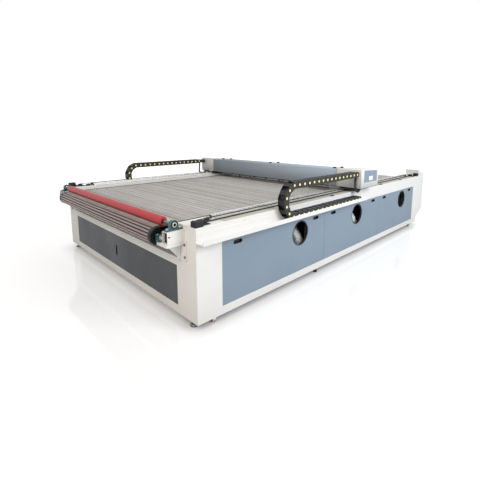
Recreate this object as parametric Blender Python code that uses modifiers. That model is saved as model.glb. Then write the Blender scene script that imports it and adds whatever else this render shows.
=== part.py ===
"""Gantry laser cutting machine with an endless slat conveyor bed for roll material.

Metres, +Z up. X runs across the bed, Y along it with the feed end at -Y, and the floor is Z 0.
Lengths along Y are given from the frame's front face, and heights from the frame's lower edge,
unless the name says otherwise: along() and up() turn them into world coordinates.
"""

import math

import bmesh
import bpy
from mathutils import Vector

# Running and assembly clearances
gap = 0.0003
panel_clearance = 0.002
working_clearance = 0.003
weld_overlap = 0.002
tool_margin = 0.05

# Welded frame
frame_width = 3.0
frame_length = 4.70
frame_height = 0.80
foot_height = 0.055
post_width = 0.26
front_post_length = 0.26
rear_post_length = 0.20
bottom_rail_height = 0.072
top_rail_height = 0.158
mullion_width = 0.06
panel_thickness = 0.018
panel_recess = 0.003
ledge = 0.014
first_panel_length = 1.53
second_panel_length = 1.39
end_frame_depth = 0.06
front_beam_drop = 0.30
front_beam_height = 0.07
front_stile = 0.02
fascia_setback = 0.12
fascia_thickness = 0.004
fascia_clearance = 0.0154

# Openings in the lift-off panels
slot_length = 0.10
slot_height = 0.035
slot_inset = 0.18
slot_drop = 0.040
port_radius = 0.13
port_drop = 0.155
port_insets = (0.457, 0.631, 0.490)
front_slot_width = 0.028
front_slot_height = 0.12

# Levelling feet and transport wheels
foot_radius = 0.034
foot_cup_height = 0.016
foot_stem_radius = 0.010
foot_inset = 0.11
foot_end_margin = 0.045
wheel_radius = 0.024
wheel_width = 0.022
wheel_lift = 0.0015
wheel_axle_radius = 0.004
wheel_inset = 0.045
wheel_from_end = 0.19
fork_cheek = 0.004
fork_length = 0.034
fork_drop = 0.008

# Slat conveyor
bed_side_clearance = 0.075
bed_drop = 0.026
drum_radius = 0.062
slat_thickness = 0.012
joint_pitch = 0.128
slat_pitch = 0.032
groove_width = 0.004
groove_depth = 0.005
front_drum_reach = 0.135
rear_drum_inset = 0.10
sprocket_thickness = 0.020
sprocket_lip = 0.0025
hub_radius = 0.034
hub_length = 0.008
drum_shaft_radius = 0.015
drum_shaft_reach = 0.085
bed_box_top_gap = 0.001
bed_box_height = 0.060
bed_box_wall = 0.004
bed_box_margin = 0.08
bed_arm_width = 0.06
bed_arm_height = 0.040
bed_arm_places = (0.42, 1.70, 2.98, 4.26)

# Nip roller over the front drum
roller_radius = 0.038
roller_core_radius = 0.033
roller_end = 0.006
roller_setback = 0.057
roller_shaft_radius = 0.0125
roller_shaft_overhang = 0.004
roller_pinch = 0.0005
pillow_length = 0.150
pillow_width = 0.034
pillow_foot = 0.014
pillow_rise = 0.0475
pillow_ring_radius = 0.036
pillow_shoulder = 0.045
pillow_lower_angle = -0.35
arm_width = 0.075
arm_outer_inset = 0.150
arm_reach = 0.157
arm_height = 0.097
shelf_thickness = 0.028
shelf_inner_inset = 0.304
shelf_outer_step = 0.004
shelf_front_step = 0.006
plate_inner_inset = 0.243
plate_outer_inset = 0.123
plate_drop = 0.275
plate_thickness = 0.012
gusset_thickness = 0.010
gusset_drop = 0.250
bearing_width = 0.036
bearing_length = 0.080
bearing_margin = 0.006

# Gantry slideways and belts along each side
rail_inset = 0.170
rail_width = 0.020
rail_height = 0.034
rail_start = 0.28
rail_end_margin = 0.16
belt_inset = 0.100
belt_width = 0.025
belt_thickness = 0.003
belt_lift = 0.0035
pulley_radius = 0.012
pulley_bore_clearance = 0.0004
pulley_axle_radius = 0.004
idler_place = 0.125
drive_end_margin = 0.125
block_width = 0.064
block_length = 0.076
block_height = 0.046
tension_plate_height = 0.003
tension_cheek = 0.007
tension_cheek_height = 0.030
tension_cheek_length = 0.044
tension_plate_end = 0.045
tension_plate_inset = 0.025

# Gantry
gantry_position = 2.385
gantry_depth = 0.46
gantry_clearance = 0.050
gantry_front_height = 0.232
gantry_rear_height = 0.208
end_cover_overhang = 0.120
end_cover_width = 0.350
cover_wall = 0.004
front_cover_top_drop = 0.012
rear_cover_drop = 0.05
knob_radius = 0.018
knob_height = 0.012
knob_end_margin = 0.115
knob_rows = (0.145, 0.335)
carriage_length = 0.36
carriage_plate = 0.014
carriage_block_width = 0.052
carriage_inner_reach = 0.11
carriage_foot_clearance = 0.004
belt_clamp_length = 0.09
beam_setback = 0.110
beam_depth = 0.180
beam_height = 0.145
x_rail_height = 0.020
x_rail_depth = 0.015
x_rail_lift = 0.085
head_carriage_width = 0.16
head_carriage_height = 0.12
head_carriage_plate = 0.014
head_place = -0.62
head_width = 0.060
head_depth = 0.042
head_height = 0.140
nozzle_radius = 0.014
nozzle_tip_radius = 0.004
nozzle_standoff = 0.006
nozzle_length = 0.050

# Energy chains, one on each side
chain_inset = 0.005
chain_width = 0.085
link_height = 0.070
link_pitch = 0.0825
link_notch = 0.006
link_notch_depth = 0.010
bend_links = 5
chain_straight_length = 2.549
chain_fixed_end = 2.44
left_chain_advance = 0.09
chain_bracket_length = 0.030
chain_bracket_height = 0.046
chain_bracket_overlap = 0.004
chain_bracket_inset = 0.002
tray_width = 0.097
tray_drop = 0.121
tray_sheet = 0.003
tray_lip_height = 0.043
tray_back_height = 0.080
tray_beyond_chain = 0.18
hose_radius = 0.009
hose_margin = 0.003

# Rear housing and the ducts behind the ports
tower_width = 0.21
tower_depth = 0.262
tower_front_rise = 0.105
tower_rear_rise = 0.025
tower_rear_bottom = 0.190
tower_front_bottom = 0.075
tower_wall = 0.004
duct_radius = 0.060
duct_rib = 0.006
duct_ribs = 13
duct_inset = 0.122
duct_beyond_port = 0.120
duct_clearance = 0.049
duct_reach = 0.42

# Values that follow from the sizes above
half = frame_width / 2
front_reach = front_drum_reach + drum_radius + gap + slat_thickness
front_y = -(front_reach + frame_length + tower_depth) / 2 + front_reach
post_inner = half - post_width
doors_end = frame_length - rear_post_length
seams = (
    front_post_length,
    front_post_length + first_panel_length,
    front_post_length + first_panel_length + second_panel_length,
    doors_end,
)
door_top = frame_height - top_rail_height
port_height = door_top - port_drop
port_places = [seam - inset for seam, inset in zip(seams[1:], port_insets)]
front_beam_top = frame_height - front_beam_drop
front_panel_top = front_beam_top - front_beam_height
bed_half_width = post_inner - bed_side_clearance
belt_inner_radius = drum_radius + gap
belt_outer_radius = belt_inner_radius + slat_thickness
bed_top = frame_height - bed_drop
drum_height = bed_top - belt_outer_radius
return_run_bottom = drum_height - belt_outer_radius
fascia_top = return_run_bottom - fascia_clearance
duct_foot = bottom_rail_height + ledge + gap
duct_rise = return_run_bottom - duct_clearance - duct_radius - duct_foot
rear_drum_place = frame_length - rear_drum_inset
roller_height = bed_top + roller_pinch + roller_radius
roller_place = -front_drum_reach + roller_setback
arm_top = roller_height - pillow_rise
arm_low = arm_top - arm_height
plate_bottom = arm_top - plate_drop
gusset_bottom = arm_top - gusset_drop
belt_axis_height = frame_height + belt_lift + belt_thickness + pulley_radius + gap
drive_place = frame_length - drive_end_margin
gantry_bottom = frame_height + gantry_clearance
gantry_top_front = gantry_bottom + gantry_front_height
gantry_top_rear = gantry_bottom + gantry_rear_height
tray_floor = frame_height - tray_drop
tray_length = chain_fixed_end + tray_beyond_chain
bend_place = (chain_fixed_end + gantry_position - chain_straight_length) / 2
bend_turn = math.pi / (bend_links + 1)
bend_reach = link_pitch / 2 / math.sin(bend_turn / 2)
bend_rise = bend_reach * math.cos(bend_turn / 2)
chain_low = tray_floor + tray_sheet + gap + link_height / 2
chain_middle = chain_low + bend_rise
chain_high = chain_middle + bend_rise
gantry_right = half + end_cover_overhang
cover_inner = gantry_right - end_cover_width
knob_spacing = cover_inner - knob_end_margin
tower_front_top = frame_height + tower_front_rise
tower_rear_top = frame_height + tower_rear_rise


def along(y):
    """World Y of a length measured back from the frame's front face."""
    return front_y + y


def up(z):
    """World Z of a height measured from the frame's lower edge."""
    return foot_height + z


def new_collection(name):
    """Return a new collection linked to the scene."""
    collection = bpy.data.collections.new(name)
    bpy.context.scene.collection.children.link(collection)
    return collection


for leftover in list(bpy.data.objects):
    bpy.data.objects.remove(leftover)
parts = new_collection("gantry_laser_cutter")
tools = new_collection("shaping_tools")


def material(name, red, green, blue, roughness, metallic=0.0):
    """Make a plain Principled material from a linear colour."""
    made = bpy.data.materials.new(name)
    made.use_nodes = True
    shader = made.node_tree.nodes["Principled BSDF"]
    shader.inputs["Base Color"].default_value = (red, green, blue, 1.0)
    shader.inputs["Roughness"].default_value = roughness
    shader.inputs["Metallic"].default_value = metallic
    return made


frame_paint = material("frame_paint", 0.78, 0.77, 0.74, 0.45)
panel_paint = material("panel_paint", 0.30, 0.37, 0.44, 0.5)
front_panel_paint = material("front_panel_paint", 0.085, 0.1, 0.11, 0.5)
cover_paint = material("cover_paint", 0.20, 0.24, 0.27, 0.45)
slat_aluminium = material("slat_aluminium", 0.42, 0.41, 0.40, 0.45, 0.7)
red_rubber = material("red_rubber", 0.45, 0.06, 0.06, 0.55)
black_plastic = material("black_plastic", 0.012, 0.014, 0.017, 0.5)
chain_plastic = material("chain_plastic", 0.025, 0.028, 0.032, 0.55)
bearing_enamel = material("bearing_enamel", 0.03, 0.12, 0.12, 0.4)
bright_steel = material("bright_steel", 0.55, 0.56, 0.57, 0.3, 1.0)
belt_rubber = material("belt_rubber", 0.02, 0.02, 0.02, 0.7)
foil = material("foil", 0.6, 0.6, 0.6, 0.3, 1.0)
wheel_rubber = material("wheel_rubber", 0.25, 0.08, 0.05, 0.6)


def add(name, mesh, paint, place=(0, 0, 0)):
    """Add a finished part at its place."""
    made = bpy.data.objects.new(name, mesh)
    made.location = place
    mesh.materials.append(paint)
    parts.objects.link(made)
    return made


def as_tool(made):
    """Move an object to the shaping tools, hidden from renders."""
    for collection in list(made.users_collection):
        collection.objects.unlink(made)
    tools.objects.link(made)
    made.hide_render = True
    made.display_type = "WIRE"
    return made


def shape_with(target, tool, operation):
    """Cut or join a tool with the EXACT solver."""
    as_tool(tool)
    modifier = target.modifiers.new(tool.name, "BOOLEAN")
    modifier.operation = operation
    modifier.object = tool
    modifier.solver = "EXACT"


def cut(target, tool):
    """Take a tool's shape away from the target."""
    shape_with(target, tool, "DIFFERENCE")


def join(target, tool):
    """Weld a tool's shape onto the target."""
    shape_with(target, tool, "UNION")


def box(name, low, high, paint):
    """A box between two corners, with its origin at its centre."""
    mesh = bpy.data.meshes.new(name)
    work = bmesh.new()
    bmesh.ops.create_cube(work, size=1.0)
    size = Vector(high) - Vector(low)
    bmesh.ops.scale(work, vec=size, verts=work.verts)
    work.to_mesh(mesh)
    work.free()
    return add(name, mesh, paint, (Vector(low) + Vector(high)) / 2)


TURN_TO_AXIS = {"X": (0, math.pi / 2, 0), "Y": (math.pi / 2, 0, 0), "Z": (0, 0, 0)}


def rod(name, radius, length, axis, centre, paint, sides=24):
    """A cylinder with its origin at its centre."""
    mesh = bpy.data.meshes.new(name)
    work = bmesh.new()
    bmesh.ops.create_cone(
        work, cap_ends=True, segments=sides, radius1=radius, radius2=radius, depth=length
    )
    work.to_mesh(mesh)
    work.free()
    made = add(name, mesh, paint, centre)
    made.rotation_euler = TURN_TO_AXIS[axis]
    mesh.shade_smooth()
    mesh.set_sharp_from_angle(angle=math.radians(40))
    return made


def turned(name, profile, axis, centre, paint, steps=32):
    """Turn a profile of (radius, height) points that runs from top to bottom."""
    mesh = bpy.data.meshes.new(name)
    points = [(radius, 0, height) for radius, height in profile]
    edges = [(i, i + 1) for i in range(len(points) - 1)]
    if profile[0][0] > 0:
        edges.append((len(points) - 1, 0))
    mesh.from_pydata(points, edges, [])
    made = add(name, mesh, paint, centre)
    made.rotation_euler = TURN_TO_AXIS[axis]
    screw = made.modifiers.new("Turn", "SCREW")
    screw.steps = steps
    screw.render_steps = steps
    screw.use_merge_vertices = True
    screw.merge_threshold = 0.00001
    screw.use_smooth_shade = False
    return made


def mesh_of(drawn):
    """Turn a curve object into a mesh whose caps are welded and whose faces point out."""
    bpy.context.view_layer.update()
    evaluated = drawn.evaluated_get(bpy.context.evaluated_depsgraph_get())
    mesh = bpy.data.meshes.new_from_object(evaluated)
    work = bmesh.new()
    work.from_mesh(mesh)
    bmesh.ops.remove_doubles(work, verts=work.verts, dist=0.00001)
    bmesh.ops.recalc_face_normals(work, faces=work.faces)
    work.to_mesh(mesh)
    work.free()
    return mesh


PLANE_TURN = {"YZ": (math.pi / 2, 0, math.pi / 2), "XZ": (math.pi / 2, 0, 0), "XY": (0, 0, 0)}


def outline(name, loops, thickness, plane, centre, paint):
    """Extrude flat loops about their plane. The first loop is the outside, the rest are holes."""
    curve = bpy.data.curves.new(name, "CURVE")
    curve.dimensions = "2D"
    curve.fill_mode = "BOTH"
    curve.extrude = thickness / 2
    for loop in loops:
        spline = curve.splines.new("POLY")
        spline.points.add(len(loop) - 1)
        for point, (across, high) in zip(spline.points, loop):
            point.co = (across, high, 0, 1)
        spline.use_cyclic_u = True
    drawn = bpy.data.objects.new(name + "_outline", curve)
    parts.objects.link(drawn)
    mesh = mesh_of(drawn)
    bpy.data.objects.remove(drawn)
    made = add(name, mesh, paint, centre)
    made.rotation_euler = PLANE_TURN[plane]
    return made


def smooth_route(points, count):
    """Points spaced along a Catmull-Rom curve through a hand-chosen route."""
    route = [Vector(p) for p in points]
    route = [2 * route[0] - route[1]] + route + [2 * route[-1] - route[-2]]
    spans = len(route) - 3
    found = []
    for step in range(count + 1):
        where = min(step * spans / count, spans - 1e-9)
        i = int(where)
        t = where - i
        a, b, c, d = route[i : i + 4]
        found.append(
            0.5
            * (
                2 * b
                + (c - a) * t
                + (2 * a - 5 * b + 4 * c - d) * t**2
                + (3 * b - a - 3 * c + d) * t**3
            )
        )
    return found


def tube(name, points, radius, paint, resolution=2, swell=None):
    """A round tube through its points, with an optional factor on the radius of each."""
    curve = bpy.data.curves.new(name, "CURVE")
    curve.dimensions = "3D"
    curve.bevel_depth = radius
    curve.bevel_resolution = resolution
    curve.use_fill_caps = True
    spline = curve.splines.new("POLY")
    spline.points.add(len(points) - 1)
    for i, place in enumerate(points):
        spline.points[i].co = (*place, 1)
        spline.points[i].radius = swell[i] if swell else 1.0
    drawn = bpy.data.objects.new(name + "_route", curve)
    parts.objects.link(drawn)
    mesh = mesh_of(drawn)
    bpy.data.objects.remove(drawn)
    made = add(name, mesh, paint)
    mesh.shade_smooth()
    mesh.set_sharp_from_angle(angle=math.radians(50))
    return made


def obround(length, height, sides=5):
    """A slot's outline, centred on its origin."""
    radius = height / 2
    straight = length / 2 - radius
    points = []
    for end, first in ((1, -math.pi / 2), (-1, math.pi / 2)):
        for i in range(sides + 1):
            angle = first + math.pi * i / sides
            points.append((end * straight + radius * math.cos(angle), radius * math.sin(angle)))
    return points


def span(side, near, far):
    """Low and high X of a piece between two distances from the middle, on one side."""
    return sorted((side * near, side * far))


def parent_all(children, parent):
    """Hang parts on an empty without moving them."""
    bpy.context.view_layer.update()
    for child in children:
        child.parent = parent
        child.matrix_parent_inverse = parent.matrix_world.inverted()


def empty(name, place):
    """An empty that carries a moving group."""
    made = bpy.data.objects.new(name, None)
    made.location = place
    parts.objects.link(made)
    return made


# Frame
def side_frame(name, side):
    """Ladder frame of one long side, with its levelling feet and wheel forks."""
    low_x, high_x = span(side, post_inner, half)
    made = box(
        "side_frame_" + name,
        (low_x, along(0), up(0)),
        (high_x, along(frame_length), up(frame_height)),
        frame_paint,
    )
    recess_x, outside_x = span(side, half - panel_recess - panel_thickness, half + ledge)
    recess = box(
        "recess_" + name,
        (recess_x, along(seams[0]), up(bottom_rail_height)),
        (outside_x, along(seams[-1]), up(door_top)),
        frame_paint,
    )
    cut(made, recess)
    for i in range(3):
        low_y = seams[i] + (ledge if i == 0 else mullion_width / 2)
        high_y = seams[i + 1] - (ledge if i == 2 else mullion_width / 2)
        bay_low, bay_high = span(side, post_inner - ledge, half + ledge)
        bay = box(
            f"bay_{name}_{i + 1}",
            (bay_low, along(low_y), up(bottom_rail_height + ledge)),
            (bay_high, along(high_y), up(door_top - ledge)),
            frame_paint,
        )
        cut(made, bay)
    foot_places = (foot_end_margin, frame_length / 2, frame_length - foot_end_margin)
    for i, place in enumerate(foot_places):
        join(made, levelling_foot(f"foot_{name}_{i + 1}", side, place))
    for i, place in enumerate((wheel_from_end, frame_length - wheel_from_end)):
        for tool in wheel_fork(f"{name}_{i + 1}", side, place):
            join(made, tool)
    return made


def levelling_foot(name, side, place):
    """Turned foot: a cup on the floor and a stem into the frame."""
    profile = [
        (0, foot_height + ledge),
        (foot_stem_radius, foot_height + ledge),
        (foot_stem_radius, foot_cup_height),
        (foot_radius * 0.7, foot_cup_height),
        (foot_radius, foot_cup_height / 2),
        (foot_radius, 0),
        (0, 0),
    ]
    centre = (side * (half - foot_inset), along(place), 0)
    return turned(name, profile, "Z", centre, bright_steel, steps=16)


def wheel_fork(name, side, place):
    """Inverted U that carries a small wheel, with its axle."""
    outer = wheel_width / 2 + working_clearance + fork_cheek
    inner = wheel_width / 2 + working_clearance
    axle_height = wheel_radius + wheel_lift
    low = axle_height - fork_drop
    high = foot_height + ledge
    crown = foot_height - weld_overlap
    loop = [
        (-outer, low),
        (-inner, low),
        (-inner, crown),
        (inner, crown),
        (inner, low),
        (outer, low),
        (outer, high),
        (-outer, high),
    ]
    x = side * (half - wheel_inset)
    fork = outline("fork_" + name, [loop], fork_length, "XZ", (x, along(place), 0), bright_steel)
    axle = rod(
        "fork_axle_" + name,
        wheel_axle_radius,
        2 * inner + fork_cheek,
        "X",
        (x, along(place), axle_height),
        bright_steel,
        sides=12,
    )
    return fork, axle


def wheel(name, side, place):
    """Small transport wheel on its fork's axle."""
    bore = wheel_axle_radius + gap
    profile = [
        (bore, wheel_width / 2),
        (wheel_radius * 0.9, wheel_width / 2),
        (wheel_radius, wheel_width / 4),
        (wheel_radius, -wheel_width / 4),
        (wheel_radius * 0.9, -wheel_width / 2),
        (bore, -wheel_width / 2),
    ]
    centre = (side * (half - wheel_inset), along(place), wheel_radius + wheel_lift)
    return turned(name, profile, "X", centre, wheel_rubber, steps=18)


def end_frame(name, front):
    """Cross frame between the two sides, with its set-back fascia."""
    reach = post_inner - gap
    facing = 1 if front else -1
    face = 0 if front else frame_length

    def block(label, near, far, wide, low, high):
        low_y, high_y = sorted((along(face + facing * near), along(face + facing * far)))
        return box(label, (-wide, low_y, up(low)), (wide, high_y, up(high)), frame_paint)

    made = block(name, 0, end_frame_depth, reach, 0, front_beam_top)
    opening = reach - front_stile
    recess_depth = panel_recess + panel_thickness
    low, high = bottom_rail_height, front_panel_top
    cut(made, block(name + "_recess", -ledge, recess_depth, opening, low, high))
    if front:
        through = end_frame_depth + ledge
        wide = opening - ledge
        cut(made, block(name + "_bay", -ledge, through, wide, low + ledge, high - ledge))
    shelf_low = front_panel_top + ledge
    shelf_high = shelf_low + ledge
    near = end_frame_depth - ledge
    join(made, block(name + "_shelf", near, fascia_setback, reach, shelf_low, shelf_high))
    near = fascia_setback - fascia_thickness
    low = shelf_low + ledge / 2
    join(made, block(name + "_fascia", near, fascia_setback, reach, low, fascia_top))
    return made


def front_panel():
    """Lift-off panel in the front cross frame, with one upright finger slot."""
    reach = post_inner - gap - front_stile - panel_clearance
    made = box(
        "front_panel",
        (-reach, along(panel_recess), up(bottom_rail_height + gap)),
        (reach, along(panel_recess + panel_thickness - gap), up(front_panel_top - panel_clearance)),
        front_panel_paint,
    )
    middle = (bottom_rail_height + front_panel_top) / 2
    slot = outline(
        "front_finger_slot",
        [[(high, across) for across, high in obround(front_slot_height, front_slot_width)]],
        4 * panel_thickness,
        "XZ",
        (0, along(panel_recess), up(middle)),
        front_panel_paint,
    )
    cut(made, slot)
    return made


def side_panel(name, side, index):
    """One of three lift-off panels, with finger slots and, on the right, a round port."""
    back = half - panel_recess - panel_thickness + gap
    low_x, high_x = span(side, back, half - panel_recess)
    low_y = seams[index] + (panel_clearance if index == 0 else panel_clearance / 2)
    high_y = seams[index + 1] - (panel_clearance if index == 2 else panel_clearance / 2)
    made = box(
        f"side_panel_{name}_{index + 1}",
        (low_x, along(low_y), up(bottom_rail_height + gap)),
        (high_x, along(high_y), up(door_top - panel_clearance)),
        panel_paint,
    )
    middle_x = side * (half - panel_recess - panel_thickness / 2)
    for i, place in enumerate((seams[index] + slot_inset, seams[index + 1] - slot_inset)):
        slot = outline(
            f"finger_slot_{name}_{index + 1}_{i + 1}",
            [obround(slot_length, slot_height)],
            3 * panel_thickness,
            "YZ",
            (middle_x, along(place), up(door_top - slot_drop)),
            panel_paint,
        )
        cut(made, slot)
    if side > 0:
        centre = (middle_x, along(port_places[index]), up(port_height))
        port = rod(
            f"port_{index + 1}", port_radius, 3 * panel_thickness, "X", centre, panel_paint, sides=36
        )
        cut(made, port)
    return made


# Conveyor
def arc(centre_y, centre_z, radius, start, end, count):
    """Points on an arc, both ends included."""
    points = []
    for i in range(count + 1):
        angle = start + (end - start) * i / count
        points.append((centre_y + radius * math.cos(angle), centre_z + radius * math.sin(angle)))
    return points


def slat_belt():
    """Closed loop of slats round the two drums, with a groove at each joint."""
    front, rear = -front_drum_reach, rear_drum_place
    outer = belt_outer_radius
    deep = outer - groove_depth
    half_turn = math.pi
    wraps = 2 * round(half_turn * outer / slat_pitch / 2)  # even, so a slat joint faces straight out
    groove_angle = groove_width / 2 / outer
    points = []

    def wrapped(centre, first):
        for i in range(wraps + 1):
            angle = first + half_turn * i / wraps
            steps = ((outer, -1), (deep, -1), (deep, 1), (outer, 1))
            for radius, way in steps:
                at = angle + way * groove_angle
                points.append((centre + radius * math.cos(at), drum_height + radius * math.sin(at)))

    def flat(start, end, way):
        count = round(abs(end - start) / joint_pitch)
        for i in range(1, count):
            middle = start + (end - start) * i / count
            run = math.copysign(groove_width / 2, end - start)
            for offset, radius in ((-run, outer), (-run, deep), (run, deep), (run, outer)):
                points.append((middle + offset, drum_height + way * radius))

    wrapped(rear, -math.pi / 2)
    flat(rear, front, 1)
    wrapped(front, math.pi / 2)
    flat(front, rear, -1)
    inside = arc(rear, drum_height, belt_inner_radius, -math.pi / 2, math.pi / 2, 20)
    inside += arc(front, drum_height, belt_inner_radius, math.pi / 2, math.pi * 1.5, 20)
    return outline(
        "slat_conveyor",
        [points, inside],
        2 * bed_half_width,
        "YZ",
        (0, along(0), up(0)),
        slat_aluminium,
    )


def drum(name, place, shaft):
    """Conveyor drum with its end sprockets, hubs and shaft, turned as one."""
    face = bed_half_width + sprocket_thickness
    hub = face + hub_length
    rim = drum_radius + sprocket_lip
    core = bed_half_width + gap
    half_profile = [
        (0, shaft),
        (drum_shaft_radius, shaft),
        (drum_shaft_radius, hub),
        (hub_radius, hub),
        (hub_radius, face),
        (rim, face),
        (rim, core),
        (drum_radius, core),
    ]
    lower = [(radius, -height) for radius, height in reversed(half_profile)]
    centre = (0, along(place), up(drum_height))
    return turned(name, half_profile + lower, "X", centre, bright_steel, steps=28)


def bed_box():
    """Suction box under the top run: a tray that is open below, on arms to the side frames."""
    top = drum_height + belt_inner_radius - bed_box_top_gap
    low = top - bed_box_height
    front = -front_drum_reach + drum_radius + bed_box_margin
    rear = rear_drum_place - drum_radius - bed_box_margin
    wide = bed_half_width - sprocket_thickness
    made = box(
        "suction_box", (-wide, along(front), up(low)), (wide, along(rear), up(top)), frame_paint
    )
    hollow = box(
        "suction_box_hollow",
        (-wide + bed_box_wall, along(front + bed_box_wall), up(low - bed_box_wall)),
        (wide - bed_box_wall, along(rear - bed_box_wall), up(top - bed_box_wall)),
        frame_paint,
    )
    cut(made, hollow)
    for i, place in enumerate(bed_arm_places):
        for label, side in (("right", 1), ("left", -1)):
            low_x, high_x = span(side, wide - bed_box_wall / 2, post_inner - gap)
            low_y, high_y = along(place - bed_arm_width / 2), along(place + bed_arm_width / 2)
            high = low + bed_box_wall + bed_arm_height
            arm = box(
                f"bed_arm_{label}_{i + 1}",
                (low_x, low_y, up(low + bed_box_wall)),
                (high_x, high_y, up(high)),
                frame_paint,
            )
            join(made, arm)
    return made


def nip_roller():
    """Red rubber roller on a steel shaft, turned as one."""
    pillow_outside = half - arm_outer_inset - (arm_width - pillow_width) / 2
    shaft_end = pillow_outside + roller_shaft_overhang
    rubber_end = bed_half_width
    half_profile = [
        (0, shaft_end),
        (roller_shaft_radius, shaft_end),
        (roller_shaft_radius, rubber_end + roller_end),
        (roller_core_radius, rubber_end + roller_end),
        (roller_core_radius, rubber_end),
        (roller_radius, rubber_end - roller_end),
    ]
    lower = [(radius, -height) for radius, height in reversed(half_profile)]
    centre = (0, along(roller_place), up(roller_height))
    return turned("nip_roller", half_profile + lower, "X", centre, red_rubber, steps=24)


def pillow_block(name, side):
    """Bearing housing on the support arm, seen as a ring on a long foot."""
    base = arm_top + gap
    centre_rise = roller_height - base
    half_foot = pillow_length / 2
    loop = [
        (-half_foot, 0),
        (half_foot, 0),
        (half_foot, pillow_foot),
        (pillow_shoulder, pillow_foot),
    ]
    first, last = pillow_lower_angle, math.pi - pillow_lower_angle
    loop += arc(0, centre_rise, pillow_ring_radius, first, last, 18)
    loop += [(-pillow_shoulder, pillow_foot), (-half_foot, pillow_foot)]
    x = side * (half - arm_outer_inset - arm_width / 2)
    centre = (x, along(roller_place), up(base))
    made = outline("pillow_block_" + name, [loop], pillow_width, "YZ", centre, bearing_enamel)
    bore = rod(
        "pillow_bore_" + name,
        roller_shaft_radius + gap,
        2 * pillow_width,
        "X",
        (x, along(roller_place), up(roller_height)),
        bearing_enamel,
        sides=32,
    )
    cut(made, bore)
    return made


def bearing_bracket(name, side):
    """Welded bracket on the front post: bolted plate, box arm, shelf and gusset."""
    low_x, high_x = span(side, half - plate_inner_inset, half - plate_outer_inset)
    made = box(
        "bearing_bracket_" + name,
        (low_x, along(-gap - plate_thickness), up(plate_bottom)),
        (high_x, along(-gap), up(arm_low + plate_thickness)),
        frame_paint,
    )
    low_x, high_x = span(side, half - arm_outer_inset - arm_width, half - arm_outer_inset)
    arm = box(
        "arm_" + name,
        (low_x, along(-arm_reach), up(arm_low)),
        (high_x, along(-gap), up(arm_top)),
        frame_paint,
    )
    join(made, arm)
    shelf_outer = half - arm_outer_inset - shelf_outer_step
    low_x, high_x = span(side, half - shelf_inner_inset, shelf_outer)
    shelf = box(
        "shelf_" + name,
        (low_x, along(-arm_reach - shelf_front_step), up(arm_low - shelf_thickness)),
        (high_x, along(-gap), up(arm_low + weld_overlap)),
        frame_paint,
    )
    join(made, shelf)
    shelf_low = arm_low - shelf_thickness + weld_overlap
    loop = [(-arm_reach, shelf_low), (-gap, shelf_low), (-gap, gusset_bottom)]
    x = side * (half - plate_inner_inset + gusset_thickness)
    gusset = outline(
        "gusset_" + name, [loop], gusset_thickness, "YZ", (x, along(0), up(0)), frame_paint
    )
    join(made, gusset)
    return made


def front_bearing(name, side):
    """Block bearing of the front drum, on the bracket's shelf."""
    base = arm_low + weld_overlap + gap
    near = half - shelf_inner_inset + bearing_margin
    low_x, high_x = span(side, near, near + bearing_width)
    top = 2 * drum_height - base
    made = box(
        "front_bearing_" + name,
        (low_x, along(-front_drum_reach - bearing_length / 2), up(base)),
        (high_x, along(-front_drum_reach + bearing_length / 2), up(top)),
        bearing_enamel,
    )
    centre = ((low_x + high_x) / 2, along(-front_drum_reach), up(drum_height))
    cut(made, shaft_bore("front_bearing_bore_" + name, centre))
    return made


def rear_bearing(name, side):
    """Flange bearing of the rear drum, on the inside of the side frame."""
    low_x, high_x = span(side, post_inner - gap - bearing_width, post_inner - gap)
    made = box(
        "rear_bearing_" + name,
        (low_x, along(rear_drum_place - bearing_length / 2), up(drum_height - bearing_length / 2)),
        (high_x, along(rear_drum_place + bearing_length / 2), up(drum_height + bearing_length / 2)),
        bearing_enamel,
    )
    centre = ((low_x + high_x) / 2, along(rear_drum_place), up(drum_height))
    cut(made, shaft_bore("rear_bearing_bore_" + name, centre))
    return made


def shaft_bore(name, centre):
    """Cutter for a drum shaft's running bore."""
    radius = drum_shaft_radius + gap
    return rod(name, radius, 2 * bearing_width, "X", centre, bearing_enamel, sides=36)


# Gantry slideways, timing belts and their end fittings
def slideway(name, side):
    """Linear rail on the side frame's top."""
    low_x, high_x = span(side, half - rail_inset - rail_width / 2, half - rail_inset + rail_width / 2)
    return box(
        "gantry_rail_" + name,
        (low_x, along(rail_start), up(frame_height + gap)),
        (high_x, along(frame_length - rail_end_margin), up(frame_height + gap + rail_height)),
        bright_steel,
    )


def timing_belt(name, side):
    """Endless belt between the idler and the drive pulley."""
    inner = pulley_radius + gap
    outer = inner + belt_thickness
    loops = []
    for radius in (outer, inner):
        loop = arc(drive_place, 0, radius, -math.pi / 2, math.pi / 2, 12)
        loop += arc(idler_place, 0, radius, math.pi / 2, math.pi * 1.5, 12)
        loops.append(loop)
    centre = (side * (half - belt_inset), along(0), up(belt_axis_height))
    return outline("timing_belt_" + name, loops, belt_width, "YZ", centre, belt_rubber)


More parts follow.
